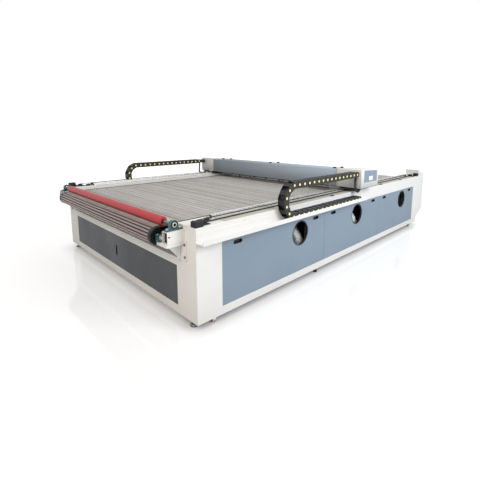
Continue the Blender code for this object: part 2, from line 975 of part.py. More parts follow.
def corner_unit(name, label, side, block_face, place, solid_pulley):
    """Corner block and base plate with two cheeks that hold a belt pulley's axle."""
    x = half - belt_inset
    slot = belt_width / 2 + working_clearance
    base = frame_height + gap
    forward = 1 if block_face == 0 else -1
    near, far = sorted((block_face, block_face + forward * block_length))
    low_x, high_x = span(side, half - block_width, half)
    made = box(
        name,
        (low_x, along(near), up(base)),
        (high_x, along(far), up(base + block_height)),
        black_plastic,
    )
    reach = place + forward * tension_plate_end
    near, far = sorted((block_face + forward * block_length / 2, reach))
    low_x, high_x = span(side, x - slot - tension_cheek, half - tension_plate_inset)
    plate = box(
        "plate_" + label,
        (low_x, along(near), up(base)),
        (high_x, along(far), up(base + tension_plate_height)),
        black_plastic,
    )
    join(made, plate)
    for word, start, end in (
        ("inner", x - slot - tension_cheek, x - slot),
        ("outer", x + slot, x + slot + tension_cheek),
    ):
        low_x, high_x = span(side, start, end)
        cheek = box(
            f"cheek_{word}_{label}",
            (low_x, along(place - tension_cheek_length / 2), up(base + tension_plate_height / 2)),
            (high_x, along(place + tension_cheek_length / 2), up(base + tension_cheek_height)),
            black_plastic,
        )
        join(made, cheek)
    centre = (side * x, along(place), up(belt_axis_height))
    length = 2 * slot + tension_cheek
    radius = pulley_axle_radius
    join(made, rod("axle_" + label, radius, length, "X", centre, bright_steel, sides=12))
    if solid_pulley:
        radius = pulley_radius
        join(made, rod("driver_" + label, radius, belt_width, "X", centre, bright_steel))
    return made


def idler_pulley(name, side):
    """Belt idler that turns on the tensioner's axle."""
    bore = pulley_axle_radius + pulley_bore_clearance
    wide = belt_width / 2
    profile = [(bore, wide), (pulley_radius, wide), (pulley_radius, -wide), (bore, -wide)]
    centre = (side * (half - belt_inset), along(idler_place), up(belt_axis_height))
    return turned("idler_pulley_" + name, profile, "X", centre, bright_steel, steps=24)


# Gantry
def carriage(name, side):
    """Slide block on the rail, with the plate that carries the beam and the belt clamp."""
    rail_x = half - rail_inset
    start = gantry_position + (gantry_depth - carriage_length) / 2
    end = start + carriage_length
    plate_top = gantry_bottom - gap
    plate_low = plate_top - carriage_plate
    block_low = frame_height + carriage_foot_clearance
    block_outside = rail_x + carriage_block_width / 2
    low_x, high_x = span(side, cover_inner - carriage_inner_reach, block_outside)
    made = box(
        "gantry_carriage_" + name,
        (low_x, along(start), up(plate_low)),
        (high_x, along(end), up(plate_top)),
        black_plastic,
    )
    low_x, high_x = span(side, rail_x - carriage_block_width / 2, block_outside)
    block = box(
        "slide_block_" + name,
        (low_x, along(start + ledge), up(block_low)),
        (high_x, along(end - ledge), up(plate_low + weld_overlap)),
        bright_steel,
    )
    join(made, block)
    low_x, high_x = span(side, rail_x - rail_width / 2 - gap, rail_x + rail_width / 2 + gap)
    channel = box(
        "rail_channel_" + name,
        (low_x, along(start - ledge), up(frame_height - ledge)),
        (high_x, along(end + ledge), up(frame_height + gap + rail_height + gap)),
        bright_steel,
    )
    cut(made, channel)
    clamp_low = belt_axis_height + pulley_radius + gap + belt_thickness + gap
    middle = (start + end) / 2
    belt_outside = half - belt_inset + belt_width / 2
    low_x, high_x = span(side, block_outside - weld_overlap, belt_outside)
    clamp = box(
        "belt_clamp_" + name,
        (low_x, along(middle - belt_clamp_length / 2), up(clamp_low)),
        (high_x, along(middle + belt_clamp_length / 2), up(plate_top)),
        black_plastic,
    )
    join(made, clamp)
    return made


def gantry_beam():
    """Box beam across the bed, resting on the two carriage plates."""
    reach = cover_inner - gap
    start = gantry_position + beam_setback
    return box(
        "gantry_beam",
        (-reach, along(start), up(gantry_bottom)),
        (reach, along(start + beam_depth), up(gantry_bottom + beam_height)),
        frame_paint,
    )


def cover_height(depth):
    """Height of the covers' sloping top at a depth behind the gantry's front."""
    return gantry_top_front + (gantry_top_rear - gantry_top_front) * depth / gantry_depth


def gantry_cover():
    """Folded sheet over the beam: front, sloping top and a short rear drop, with six knobs."""
    drop = front_cover_top_drop
    rear_edge = gantry_top_rear - drop - rear_cover_drop
    outer = [
        (0, gantry_bottom),
        (0, gantry_top_front - drop),
        (gantry_depth, gantry_top_rear - drop),
        (gantry_depth, rear_edge),
    ]
    inner = [
        (gantry_depth - cover_wall, rear_edge),
        (gantry_depth - cover_wall, gantry_top_rear - drop - cover_wall),
        (cover_wall, gantry_top_front - drop - cover_wall),
        (cover_wall, gantry_bottom),
    ]
    width = 2 * (cover_inner - gap)
    made = outline(
        "gantry_cover",
        [outer + inner],
        width,
        "YZ",
        (0, along(gantry_position), up(0)),
        cover_paint,
    )
    for i, across in enumerate((-knob_spacing, 0, knob_spacing)):
        for j, depth in enumerate(knob_rows):
            low = cover_height(depth) - drop - cover_wall / 2
            centre = (across, along(gantry_position + depth), up(low + knob_height / 2))
            name = f"knob_{i + 1}_{j + 1}"
            join(made, rod(name, knob_radius, knob_height, "Z", centre, black_plastic, sides=12))
    return made


def end_cover(name, side):
    """Hollow cover over one end of the gantry, open below, with a recess for its inset panel."""
    loop = [
        (0, gantry_bottom),
        (gantry_depth, gantry_bottom),
        (gantry_depth, gantry_top_rear),
        (0, gantry_top_front),
    ]
    wall = cover_wall
    hollow = [
        (wall, gantry_bottom - wall),
        (gantry_depth - wall, gantry_bottom - wall),
        (gantry_depth - wall, gantry_top_rear - wall),
        (wall, gantry_top_front - wall),
    ]
    x = side * (gantry_right - end_cover_width / 2)
    centre = (x, along(gantry_position), up(0))
    made = outline("end_cover_" + name, [loop], end_cover_width, "YZ", centre, frame_paint)
    width = end_cover_width - 2 * wall
    cut(made, outline("end_cover_hollow_" + name, [hollow], width, "YZ", centre, frame_paint))
    return made


def x_rail():
    """Linear rail on the beam's front face."""
    reach = cover_inner - 2 * ledge
    back = gantry_position + beam_setback - gap
    low = gantry_bottom + x_rail_lift
    return box(
        "x_rail",
        (-reach, along(back - x_rail_depth), up(low)),
        (reach, along(back), up(low + x_rail_height)),
        bright_steel,
    )


def head_carriage():
    """Plate with a channel that runs on the X rail."""
    back = gantry_position + beam_setback - x_rail_depth / 2
    front = gantry_position + beam_setback - gap - x_rail_depth - gap - head_carriage_plate
    middle = gantry_bottom + x_rail_lift + x_rail_height / 2
    wide = head_carriage_width / 2
    high = head_carriage_height / 2
    slot = x_rail_height / 2 + gap
    made = box(
        "head_carriage",
        (head_place - wide, along(front), up(middle - high)),
        (head_place + wide, along(back), up(middle + high)),
        black_plastic,
    )
    channel = box(
        "x_rail_channel",
        (head_place - wide - ledge, along(front + head_carriage_plate), up(middle - slot)),
        (head_place + wide + ledge, along(back + ledge), up(middle + slot)),
        black_plastic,
    )
    cut(made, channel)
    return made


def laser_head():
    """Focusing head: a body on the carriage plate, and a tapering nozzle above the slats."""
    back = gantry_position + beam_setback - 2 * gap - x_rail_depth - head_carriage_plate - gap
    front = back - head_depth
    tip = bed_top + nozzle_standoff
    body_low = tip + nozzle_length
    made = box(
        "laser_head",
        (head_place - head_width / 2, along(front), up(body_low)),
        (head_place + head_width / 2, along(back), up(body_low + head_height)),
        bright_steel,
    )
    profile = [
        (0, nozzle_length + ledge),
        (nozzle_radius, nozzle_length + ledge),
        (nozzle_radius, nozzle_length / 2),
        (nozzle_tip_radius, 0),
        (0, 0),
    ]
    centre = (head_place, along((front + back) / 2), up(tip))
    join(made, turned("nozzle", profile, "Z", centre, bright_steel, steps=24))
    return made


# Energy chains
def notched_run(start, end, height):
    """Outline of a straight chain run, with a notch at each joint on both edges."""
    clear_length = end - start - chain_bracket_overlap - link_notch
    joints = max(1, int(clear_length / link_pitch + 0.5))
    top, bottom = [], []
    for way, edge in ((1, top), (-1, bottom)):
        rim = height + way * link_height / 2
        deep = rim - way * link_notch_depth
        edge.append((start, rim))
        for i in range(joints):
            at = start + (i + 0.5) * link_pitch
            edge += [(at - link_notch / 2, rim), (at, deep), (at + link_notch / 2, rim)]
        edge.append((end, rim))
    return bottom + list(reversed(top))


def chain_bend_outline(place):
    """Stiff links round the bend, from half a link above to half a link below."""
    outer = bend_rise + link_height / 2
    inner = bend_rise - link_height / 2
    corner = math.cos(bend_turn / 2)
    end = place - gap
    outside = [(end, chain_middle + outer)]
    inside = [(end, chain_middle + inner)]
    for i in range(bend_links + 1):
        angle = math.pi / 2 + (i + 0.5) * bend_turn
        y, z = math.cos(angle), math.sin(angle)
        for way in (-1, 1):
            edge_angle = angle + way * bend_turn / 2
            edge_y = -math.sin(edge_angle) * way * link_notch / 2
            edge_z = math.cos(edge_angle) * way * link_notch / 2
            rim = (place + y * outer / corner + edge_y, chain_middle + z * outer / corner + edge_z)
            outside.append(rim)
            if way < 0:
                deep = outer / corner - link_notch_depth
                outside.append((place + y * deep, chain_middle + z * deep))
        inside.append((place + y * inner / corner, chain_middle + z * inner / corner))
    outside.append((end, chain_middle - outer))
    inside.append((end, chain_middle - inner))
    return outside + list(reversed(inside))


def chain_piece(name, side, loop):
    """Extrude a chain outline to the chain's width."""
    x = side * (half + chain_inset + chain_width / 2)
    return outline(name, [loop], chain_width, "YZ", (x, along(0), up(0)), chain_plastic)


def chain_bracket(name, side, low_y, high_y, middle):
    """End clamp of a chain, a little lower than its links."""
    near = half + chain_inset + chain_bracket_inset
    far = half + chain_inset + chain_width - chain_bracket_inset
    low_x, high_x = span(side, near, far)
    low = middle - chain_bracket_height / 2
    return box(
        name,
        (low_x, along(low_y), up(low)),
        (high_x, along(high_y), up(low + chain_bracket_height)),
        chain_plastic,
    )


def energy_chain(name, side, advance):
    """The three stretches of one chain: fixed run, half-speed bend, and gantry run."""
    bend_start = bend_place - advance
    fixed_end = chain_fixed_end - advance
    run = notched_run(bend_start, fixed_end, chain_low)
    lower = chain_piece("chain_lower_" + name, side, run)
    start = fixed_end - chain_bracket_overlap
    end = start + chain_bracket_length
    join(lower, chain_bracket("fixed_end_" + name, side, start, end, chain_low))
    bend = chain_piece("chain_bend_" + name, side, chain_bend_outline(bend_start))
    end = gantry_position - gap
    start = end - chain_bracket_length - advance
    run = notched_run(bend_start, start + chain_bracket_overlap, chain_high)
    upper = chain_piece("chain_upper_" + name, side, run)
    join(upper, chain_bracket("moving_end_" + name, side, start, end, chain_high))
    return lower, bend, upper


def chain_tray(name, side):
    """Folded sheet that carries the chain's fixed run: back wall, floor and front lip."""
    near = half + gap
    far = half + tray_width
    back_top = tray_floor + tray_back_height
    lip_top = tray_floor + tray_lip_height
    loop = [
        (near, tray_floor),
        (far, tray_floor),
        (far, lip_top),
        (far - tray_sheet, lip_top),
        (far - tray_sheet, tray_floor + tray_sheet),
        (near + tray_sheet, tray_floor + tray_sheet),
        (near + tray_sheet, back_top),
        (near, back_top),
    ]
    loop = [(side * x, z) for x, z in loop]
    centre = (0, along(tray_length / 2), up(0))
    return outline("chain_tray_" + name, [loop], tray_length, "XZ", centre, frame_paint)


def chain_hose(name, side, advance):
    """Hose from the chain's moving end, down in front of the end cover and up inside it."""
    x = half + chain_inset + chain_width / 2
    start = gantry_position - hose_radius - hose_margin
    first = start - advance
    low = chain_high - chain_bracket_height / 2 - gap
    route = [
        (x, first, low),
        (x, first, low - 0.02),
        (x, first - 0.004, low - 0.06),
        (x + 0.004, first - 0.008, gantry_bottom + 0.02),
        (x + 0.010, first + 0.004, gantry_bottom - 0.028),
        (x + 0.016, start - advance / 2 + 0.040, gantry_bottom - 0.044),
        (x + 0.018, start + 0.078, gantry_bottom - 0.016),
        (x + 0.016, start + 0.092, gantry_bottom + 0.05),
    ]
    world = [(side * px, along(py), up(pz)) for px, py, pz in route]
    return tube("chain_hose_" + name, smooth_route(world, 20), hose_radius, black_plastic)


# Rear housing and ducts
def rear_tower():
    """Sheet housing behind the right rear corner, with a sloping top and bottom, open below."""
    start = frame_length + gap
    end = frame_length + tower_depth
    outer = [
        (start, tower_front_bottom),
        (end, tower_rear_bottom),
        (end, tower_rear_top),
        (start, tower_front_top),
    ]
    wall = tower_wall
    hollow = [
        (start + wall, tower_front_bottom - tool_margin),
        (end - wall, tower_rear_bottom - tool_margin),
        (end - wall, tower_rear_top - wall),
        (start + wall, tower_front_top - wall),
    ]
    x = half - tower_width / 2
    centre = (x, along(0), up(0))
    made = outline("rear_tower", [outer], tower_width, "YZ", centre, frame_paint)
    inner_width = tower_width - 2 * wall
    cut(made, outline("rear_tower_hollow", [hollow], inner_width, "YZ", centre, frame_paint))
    return made


def exhaust_duct(name, place):
    """Ribbed foil duct that stands on the lower rail and bends in under the bed."""
    foot = duct_foot
    x = half - duct_inset
    y = place + duct_beyond_port
    route = [
        (x, y, foot),
        (x, y, foot + 0.28 * duct_rise),
        (x - 0.01 * duct_reach, y, foot + 0.60 * duct_rise),
        (x - 0.24 * duct_reach, y, foot + 0.88 * duct_rise),
        (x - 0.62 * duct_reach, y, foot + duct_rise),
        (x - duct_reach, y, foot + duct_rise),
    ]
    world = [(px, along(py), up(pz)) for px, py, pz in route]
    points = smooth_route(world, 2 * duct_ribs)
    swell = [1.0 if i % 2 else 1.0 - duct_rib / duct_radius for i in range(len(points))]
    return tube(name, points, duct_radius, foil, resolution=2, swell=swell)


SIDES = (("right", 1), ("left", -1))
for word, sign in SIDES:
    side_frame(word, sign)
    for number in range(3):
        side_panel(word, sign, number)
    for number, spot in enumerate((wheel_from_end, frame_length - wheel_from_end)):
        wheel(f"wheel_{word}_{number + 1}", sign, spot)
    slideway(word, sign)
    timing_belt(word, sign)
    corner_unit("belt_tensioner_" + word, "front_" + word, sign, 0, idler_place, False)
    corner_unit("belt_drive_" + word, "rear_" + word, sign, frame_length, drive_place, True)
    idler_pulley(word, sign)
    pillow_block(word, sign)
    bearing_bracket(word, sign)
    front_bearing(word, sign)
    rear_bearing(word, sign)
    chain_tray(word, sign)
end_frame("front_frame", True)
end_frame("rear_frame", False)
front_panel()
slat_belt()
bed_box()
drum("front_drum", -front_drum_reach, bed_half_width + drum_shaft_reach)
drum("rear_drum", rear_drum_place, post_inner - working_clearance)
nip_roller()
rear_tower()
exhaust_duct("exhaust_duct_1", port_places[0])
exhaust_duct("exhaust_duct_2", port_places[1])

gantry_group = [gantry_beam(), gantry_cover(), x_rail()]
for word, sign in SIDES:
    nearer = left_chain_advance if sign < 0 else 0
    low_run, bend_piece, high_run = energy_chain(word, sign, nearer)
    bend_centre = (0, along(bend_place - nearer), up(chain_middle))
    bend_empty = empty("chain_bend_axis_" + word, bend_centre)
    parent_all([bend_piece], bend_empty)
    gantry_group += [carriage(word, sign), end_cover(word, sign), high_run, chain_hose(word, sign, nearer)]
gantry_empty = empty("gantry_axis", (0, along(gantry_position), up(gantry_bottom)))
parent_all(gantry_group, gantry_empty)
head_empty = empty("head_axis", (head_place, along(gantry_position), up(gantry_bottom)))
focus_empty = empty("focus_axis", (head_place, along(gantry_position), up(bed_top)))
parent_all([laser_head()], focus_empty)
parent_all([head_carriage(), focus_empty], head_empty)
parent_all([head_empty], gantry_empty)
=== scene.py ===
# %% [markdown]
# # Gantry laser cutting machine
# A long welded table carries an endless bed of slats. A covered beam, the gantry, runs along it on two
# rails. The machine's solids are loaded first and stay where they are. Each cell then gives one piece its
# real surface, or swaps a plain solid for a finer piece that rides on the same moving part.

# %% Load the machine's solids
import math

import bmesh
import bpy
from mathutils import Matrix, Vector


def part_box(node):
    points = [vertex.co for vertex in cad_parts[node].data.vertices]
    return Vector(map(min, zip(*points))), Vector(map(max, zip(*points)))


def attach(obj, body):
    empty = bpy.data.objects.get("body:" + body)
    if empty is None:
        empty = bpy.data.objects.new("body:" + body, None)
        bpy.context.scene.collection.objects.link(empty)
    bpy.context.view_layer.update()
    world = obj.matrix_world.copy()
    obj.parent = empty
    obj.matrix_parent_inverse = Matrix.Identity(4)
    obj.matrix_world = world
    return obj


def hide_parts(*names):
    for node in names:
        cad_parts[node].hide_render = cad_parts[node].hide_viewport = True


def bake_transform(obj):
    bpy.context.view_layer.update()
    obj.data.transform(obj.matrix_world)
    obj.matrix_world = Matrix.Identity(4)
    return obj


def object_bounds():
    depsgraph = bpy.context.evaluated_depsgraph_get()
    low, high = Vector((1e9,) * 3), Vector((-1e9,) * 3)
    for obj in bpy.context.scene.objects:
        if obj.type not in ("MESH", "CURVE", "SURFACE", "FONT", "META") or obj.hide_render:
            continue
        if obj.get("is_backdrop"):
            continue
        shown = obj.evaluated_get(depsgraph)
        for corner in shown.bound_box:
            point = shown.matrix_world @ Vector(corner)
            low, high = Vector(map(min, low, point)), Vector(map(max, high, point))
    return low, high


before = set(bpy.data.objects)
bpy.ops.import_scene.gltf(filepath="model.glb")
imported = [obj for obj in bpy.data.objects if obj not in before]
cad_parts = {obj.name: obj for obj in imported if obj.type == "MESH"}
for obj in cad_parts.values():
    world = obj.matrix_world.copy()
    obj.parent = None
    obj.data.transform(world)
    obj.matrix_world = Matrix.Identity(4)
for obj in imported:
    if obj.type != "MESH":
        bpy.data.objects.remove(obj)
solid_low, solid_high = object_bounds()
print("solids:", len(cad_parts), "size", [round(v, 3) for v in solid_high - solid_low])

# %% [markdown]
# ## Measuring from the frame
# A fitter measures from one corner of the table. Lengths run back from the front posts and heights run up
# from the frame's lower edge. Both corners are read from the loaded solids, so nothing has to be lined up
# by eye.

# %% Two measuring helpers
front_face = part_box("side_frame_right")[0].y
frame_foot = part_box("front_frame")[0].z
SIDES = (("right", 1), ("left", -1))
half_table = 1.5
belt_from_middle = 1.40
rail_from_middle = 1.33


def along(y):
    """World Y of a length measured back from the frame's front."""
    return front_face + y


def up(z):
    """World Z of a height measured from the frame's lower edge."""
    return frame_foot + z


def middle(node):
    """Centre of a solid's box."""
    low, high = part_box(node)
    return (low + high) / 2


print("front face at y", round(front_face, 4), "frame foot at z", round(frame_foot, 4))

# %% [markdown]
# ## The camera
# The photograph was taken from the right front corner, a little above the bed, with a wide lens. Focal
# length, place and tilt were worked out from the straight edges of the table. The small shift stands for
# the crop.

# %% Camera
camera_data = bpy.data.cameras.new("corner_view")
camera_data.lens = 25.03
camera_data.sensor_width = 36
camera_data.shift_x = -0.0177
camera_data.shift_y = -0.1131
camera = bpy.data.objects.new("corner_view", camera_data)
camera.location = (3.5327, along(-1.4356), up(1.504))
camera.rotation_euler = (math.radians(90 - 8.642), 0, math.radians(45.465))
bpy.context.scene.collection.objects.link(camera)
bpy.context.scene.camera = camera
bpy.context.scene.view_settings.view_transform = "Standard"
print("camera at", [round(v, 3) for v in camera.location])

# %% [markdown]
# ## Colours and nodes
# Colours are picked as sRGB hex values, because that is what a photograph shows, while Blender's shaders
# calculate with linear light. One function does the change. A second one adds any node, sets its options
# and either links or fills its sockets, which keeps each material readable from top to bottom. A Mix node
# that is set to colour takes its share in socket 0 and its two colours in sockets 6 and 7.


# %% Colour and node helpers
def paint_hex(text):
    """Linear RGBA from an sRGB hex colour."""
    parts = [int(text[i : i + 2], 16) / 255 for i in (1, 3, 5)]
    linear = [c / 12.92 if c <= 0.04045 else ((c + 0.055) / 1.055) ** 2.4 for c in parts]
    return (*linear, 1.0)


def add_node(material, kind, sockets=None, **options):
    """Add a node, set its options, and link or fill its input sockets."""
    node = material.node_tree.nodes.new(kind)
    for option, value in options.items():
        setattr(node, option, value)
    for socket, value in (sockets or {}).items():
        if isinstance(value, bpy.types.NodeSocket):
            material.node_tree.links.new(value, node.inputs[socket])
        else:
            node.inputs[socket].default_value = value
    return node


def start_material(name, colour, roughness, metallic=0.0):
    """A material with its Principled shader, its object coordinates and a link function."""
    made = bpy.data.materials.new(name)
    made.use_nodes = True
    shader = made.node_tree.nodes["Principled BSDF"]
    shader.inputs["Base Color"].default_value = paint_hex(colour)
    shader.inputs["Roughness"].default_value = roughness
    shader.inputs["Metallic"].default_value = metallic
    place = add_node(made, "ShaderNodeTexCoord").outputs["Object"]
    return made, shader, place


def plug(material, source, socket):
    """Link an output to a shader socket."""
    material.node_tree.links.new(source, socket)


def per_metre(millimetres):
    """Noise scale that gives features of a size in millimetres."""
    return 1000.0 / millimetres


print("white paint in linear light:", [round(c, 3) for c in paint_hex("#F1EEE8")])

# %% [markdown]
# ## Powder coat
# The frame and its panels are sheet steel and tube, sprayed with dry powder and baked. The paint flows out
# into a faint orange peel a few millimetres across, and has a satin sheen. Near the floor it turns darker,
# partly from dirt and partly as painted shade.
# The peel is too fine for this distance, so its bumps are drawn twice as wide as real ones. One function
# makes every powder colour.


# %% Powder coats
def powder_coat(name, colour, second_tone, roughness, peel=6.0):
    """Sprayed and baked powder: orange peel, slow colour drift, and a darker tone near the floor that is
    partly dirt and partly painted shade.
    """
    made, shader, place = start_material(name, colour, roughness)
    drift = add_node(made, "ShaderNodeTexNoise", {"Vector": place, "Scale": per_metre(420), "Detail": 3.0})
    height = add_node(made, "ShaderNodeSeparateXYZ", {"Vector": place}).outputs["Z"]
    # Towards the floor the paint is mixed to its second tone: partly dirt, partly painted shade on the lowest
    # rails.
    span = {"Value": height, "From Min": 0.04, "From Max": 0.34, "To Min": 0.55, "To Max": 0.0}
    low = add_node(made, "ShaderNodeMapRange", span)
    factors = {0: drift.outputs["Fac"], 1: low.outputs["Result"]}
    dust_and_painted_shade = add_node(made, "ShaderNodeMath", factors, operation="MULTIPLY")
    drifted = add_node(made, "ShaderNodeMath", {0: drift.outputs["Fac"], 1: 0.22}, operation="MULTIPLY")
    share = add_node(made, "ShaderNodeMath", {0: dust_and_painted_shade.outputs[0], 1: drifted.outputs[0]}, operation="ADD")
    blend = {0: share.outputs[0], 6: paint_hex(colour), 7: paint_hex(second_tone)}
    mixed = add_node(made, "ShaderNodeMix", blend, data_type="RGBA")
    plug(made, mixed.outputs[2], shader.inputs["Base Color"])
    grain = add_node(made, "ShaderNodeTexNoise", {"Vector": place, "Scale": per_metre(peel), "Detail": 2.0})
    relief = {"Height": grain.outputs["Fac"], "Strength": 0.12, "Distance": 0.0006}
    peel_bump = add_node(made, "ShaderNodeBump", relief)
    plug(made, peel_bump.outputs["Normal"], shader.inputs["Normal"])
    finish = {"Value": drift.outputs["Fac"], "From Min": 0.3, "From Max": 0.7}
    finish |= {"To Min": roughness - 0.05, "To Max": roughness + 0.06}
    satin = add_node(made, "ShaderNodeMapRange", finish)
    plug(made, satin.outputs["Result"], shader.inputs["Roughness"])
    return made


white_powder = powder_coat("powder_coat_warm_white", "#EAE9E6", "#CFCBC3", 0.50)
blue_grey_powder = powder_coat("powder_coat_blue_grey", "#8494A2", "#738393", 0.54)
# The front panel's paint is the blue-grey panel paint made much darker: painted shade for the front, which
# lies in shadow.
shaded_front_powder = powder_coat("powder_coat_slate_painted_shade", "#3B4147", "#32373C", 0.48)
cover_powder = powder_coat("powder_coat_cover_grey", "#A3AFBB", "#97A3AE", 0.62)
black_powder = powder_coat("powder_coat_black_texture", "#101316", "#171A1D", 0.70, peel=4.0)
# Beige for the tops of the white side beams: painted shade, so the tops look darker than the lit sides.
beige_top_shade_paint = powder_coat("beige_painted_top_shade", "#C3C0B3", "#B4B0A2", 0.60)
print("powder coats: 5, primer: 1")

# %% [markdown]
# ## Extruded aluminium
# The slats are extruded and left as they come from the die: dull silver with fine lines along their length.
# Every slat is cut from a different bar, so the tone changes a little from slat to slat. Random Per Island
# gives each loose piece of the mesh its own number. The die lines are 2 mm apart on a real bar and are
# drawn at 4 mm.

# %% Mill-finish aluminium
slat_aluminium, shader, place = start_material("aluminium_mill_finish", "#B3B0AC", 0.58, 0.35)
bar = add_node(slat_aluminium, "ShaderNodeNewGeometry").outputs["Random Per Island"]
along_bar = {"Vector": place, "Scale": (1.5, per_metre(4), per_metre(4))}
stretch = add_node(slat_aluminium, "ShaderNodeMapping", along_bar)
fine = {"Vector": stretch.outputs[0], "Scale": 1.0, "Detail": 3.0}
die_lines = add_node(slat_aluminium, "ShaderNodeTexNoise", fine)
wide = {"Vector": place, "Scale": per_metre(160), "Detail": 4.0}
smudges = add_node(slat_aluminium, "ShaderNodeTexNoise", wide)
tone = add_node(slat_aluminium, "ShaderNodeMath", {0: bar, 1: 1.6}, operation="MULTIPLY")
for pattern in (die_lines, smudges):
    parts = {0: tone.outputs[0], 1: pattern.outputs["Fac"]}
    tone = add_node(slat_aluminium, "ShaderNodeMath", parts, operation="ADD")
tone = add_node(slat_aluminium, "ShaderNodeMath", {0: tone.outputs[0], 1: 0.34}, operation="MULTIPLY")
blend = {0: tone.outputs[0], 6: paint_hex("#7E7A76"), 7: paint_hex("#CCC9C5")}
slat_tone = add_node(slat_aluminium, "ShaderNodeMix", blend, data_type="RGBA")
plug(slat_aluminium, slat_tone.outputs[2], shader.inputs["Base Color"])
relief = {"Height": die_lines.outputs["Fac"], "Strength": 0.25, "Distance": 0.0005}
line_bump = add_node(slat_aluminium, "ShaderNodeBump", relief)
plug(slat_aluminium, line_bump.outputs["Normal"], shader.inputs["Normal"])
print("slat tones run from #7E7A76 to #CCC9C5")

# %% [markdown]
# ## Steel in four states
# Rails and drum shafts are ground, so they are bright with fine lines. Bolts are zinc plated, softer and a
# little cloudy. Feet and the roller's shaft are dull with age. Chains and sprockets are blackened. The
# nozzle is tarnished brass, made the same way. Pure metal keeps the default index of refraction, and the
# difference between them is the colour, the roughness and the lines.


# %% Steels
def steel(name, colour, roughness, line_width, clouds, metallic=1.0):
    """A steel surface with fine lines across X or Y and cloudy patches."""
    made, shader, place = start_material(name, colour, roughness, metallic)
    across = {"Vector": place, "Scale": (per_metre(line_width), 3.0, per_metre(line_width))}
    stretch = add_node(made, "ShaderNodeMapping", across)
    lines = add_node(made, "ShaderNodeTexNoise", {"Vector": stretch.outputs[0], "Scale": 1.0, "Detail": 2.0})
    patches = add_node(made, "ShaderNodeTexNoise", {"Vector": place, "Scale": per_metre(35), "Detail": 4.0})
    finish = {"Value": patches.outputs["Fac"], "From Min": 0.3, "From Max": 0.7}
    finish |= {"To Min": roughness - clouds, "To Max": roughness + clouds}
    rough = add_node(made, "ShaderNodeMapRange", finish)
    plug(made, rough.outputs["Result"], shader.inputs["Roughness"])
    relief = {"Height": lines.outputs["Fac"], "Strength": 0.15, "Distance": 0.0003}
    bump = add_node(made, "ShaderNodeBump", relief)
    plug(made, bump.outputs["Normal"], shader.inputs["Normal"])
    return made


ground_steel = steel("steel_ground", "#EAEAEB", 0.28, 2.0, 0.06)
zinc_steel = steel("steel_zinc_plated", "#C7C9C8", 0.34, 3.0, 0.10)
blackened_steel = steel("steel_blackened", "#2A2C2E", 0.42, 3.0, 0.10, metallic=0.75)
worn_steel = steel("steel_galvanised_worn", "#85888A", 0.46, 3.0, 0.10)
brass = steel("brass_tarnished", "#6E5E40", 0.42, 1.5, 0.06)
print("metals:", 5)

# %% [markdown]
# ## Rubber, plastics and enamel
# The nip roller is covered with ground silicone rubber. The chain is moulded nylon with yellow plugs, the
# bearing housings are cast iron under thick teal enamel, and the ducts are crumpled foil, whose near-white
# base is painted light for ducts that sit in the ports' shade. The slats that turn round the drums get a pink
# tint that is a painted reflection of the red roller. Each keeps a fine grain, because a perfectly even
# surface reads as computer plastic.


# %% Moulded and cast surfaces
def grained(name, colour, second, roughness, grain, strength, metallic=0.0, stretch=(1, 1, 1)):
    """A moulded, ground or cast surface: two close tones and a fine bump of a grain in millimetres."""
    made, shader, place = start_material(name, colour, roughness, metallic)
    scale = tuple(per_metre(grain) * s for s in stretch)
    mapped = add_node(made, "ShaderNodeMapping", {"Vector": place, "Scale": scale})
    noise = add_node(made, "ShaderNodeTexNoise", {"Vector": mapped.outputs[0], "Scale": 1.0, "Detail": 4.0})
    clouds = add_node(made, "ShaderNodeTexNoise", {"Vector": place, "Scale": per_metre(90), "Detail": 3.0})
    blend = {0: clouds.outputs["Fac"], 6: paint_hex(colour), 7: paint_hex(second)}
    mixed = add_node(made, "ShaderNodeMix", blend, data_type="RGBA")
    plug(made, mixed.outputs[2], shader.inputs["Base Color"])
    bump = add_node(
        made, "ShaderNodeBump", {"Height": noise.outputs["Fac"], "Strength": strength, "Distance": 0.0006}
    )
    plug(made, bump.outputs["Normal"], shader.inputs["Normal"])
    return made


red_rubber = grained(
    "silicone_rubber_red_ground", "#BB3A3F", "#AA3138", 0.48, 3.0, 0.25, stretch=(1, 0.2, 0.2)
)
wheel_rubber = grained("polyurethane_red_brown", "#8A4A3A", "#7A3F32", 0.50, 3.0, 0.2)
chain_nylon = grained("nylon_black_moulded", "#1A1D21", "#141619", 0.52, 4.0, 0.15)
yellow_nylon = grained("nylon_yellow_moulded", "#FBF1A0", "#F6E88C", 0.40, 4.0, 0.1)
black_nylon = grained("nylon_black_matt", "#16181A", "#101214", 0.50, 4.0, 0.2)
cable_pvc = grained("pvc_cable_black", "#17191B", "#1F2123", 0.45, 5.0, 0.1)
red_pvc = grained("pvc_red", "#5E2421", "#52201D", 0.45, 5.0, 0.1)
belt_rubber = grained("polychloroprene_belt", "#26282A", "#1D1F21", 0.62, 3.0, 0.3)
# Pink-tinted aluminium for the slats on the drums: a painted reflection of the red nip roller.
roller_reflection_aluminium = grained(
    "aluminium_painted_roller_reflection", "#A3928F", "#94827F", 0.38, 4.0, 0.15, metallic=0.80, stretch=(0.05, 1, 1)
)
teal_enamel = grained("cast_iron_teal_enamel", "#1F5F60", "#184C4E", 0.30, 5.0, 0.55)
# Near-white base: painted light, so the foil sitting in the ports' shade reads bright.
crumpled_foil_painted_light = grained("aluminium_foil_painted_light", "#FFFFFE", "#F0F1F1", 0.30, 14.0, 0.9, metallic=0.10)
blank_plate = grained("pvc_white_plate", "#FAFAF8", "#F3F3F0", 0.35, 6.0, 0.05)
dark_interior = grained("steel_unlit_interior", "#17191B", "#101214", 0.8, 6.0, 0.1)
teal_enamel.node_tree.nodes["Principled BSDF"].inputs["Coat Weight"].default_value = 0.4
print("moulded, cast and rubbed surfaces:", 13)

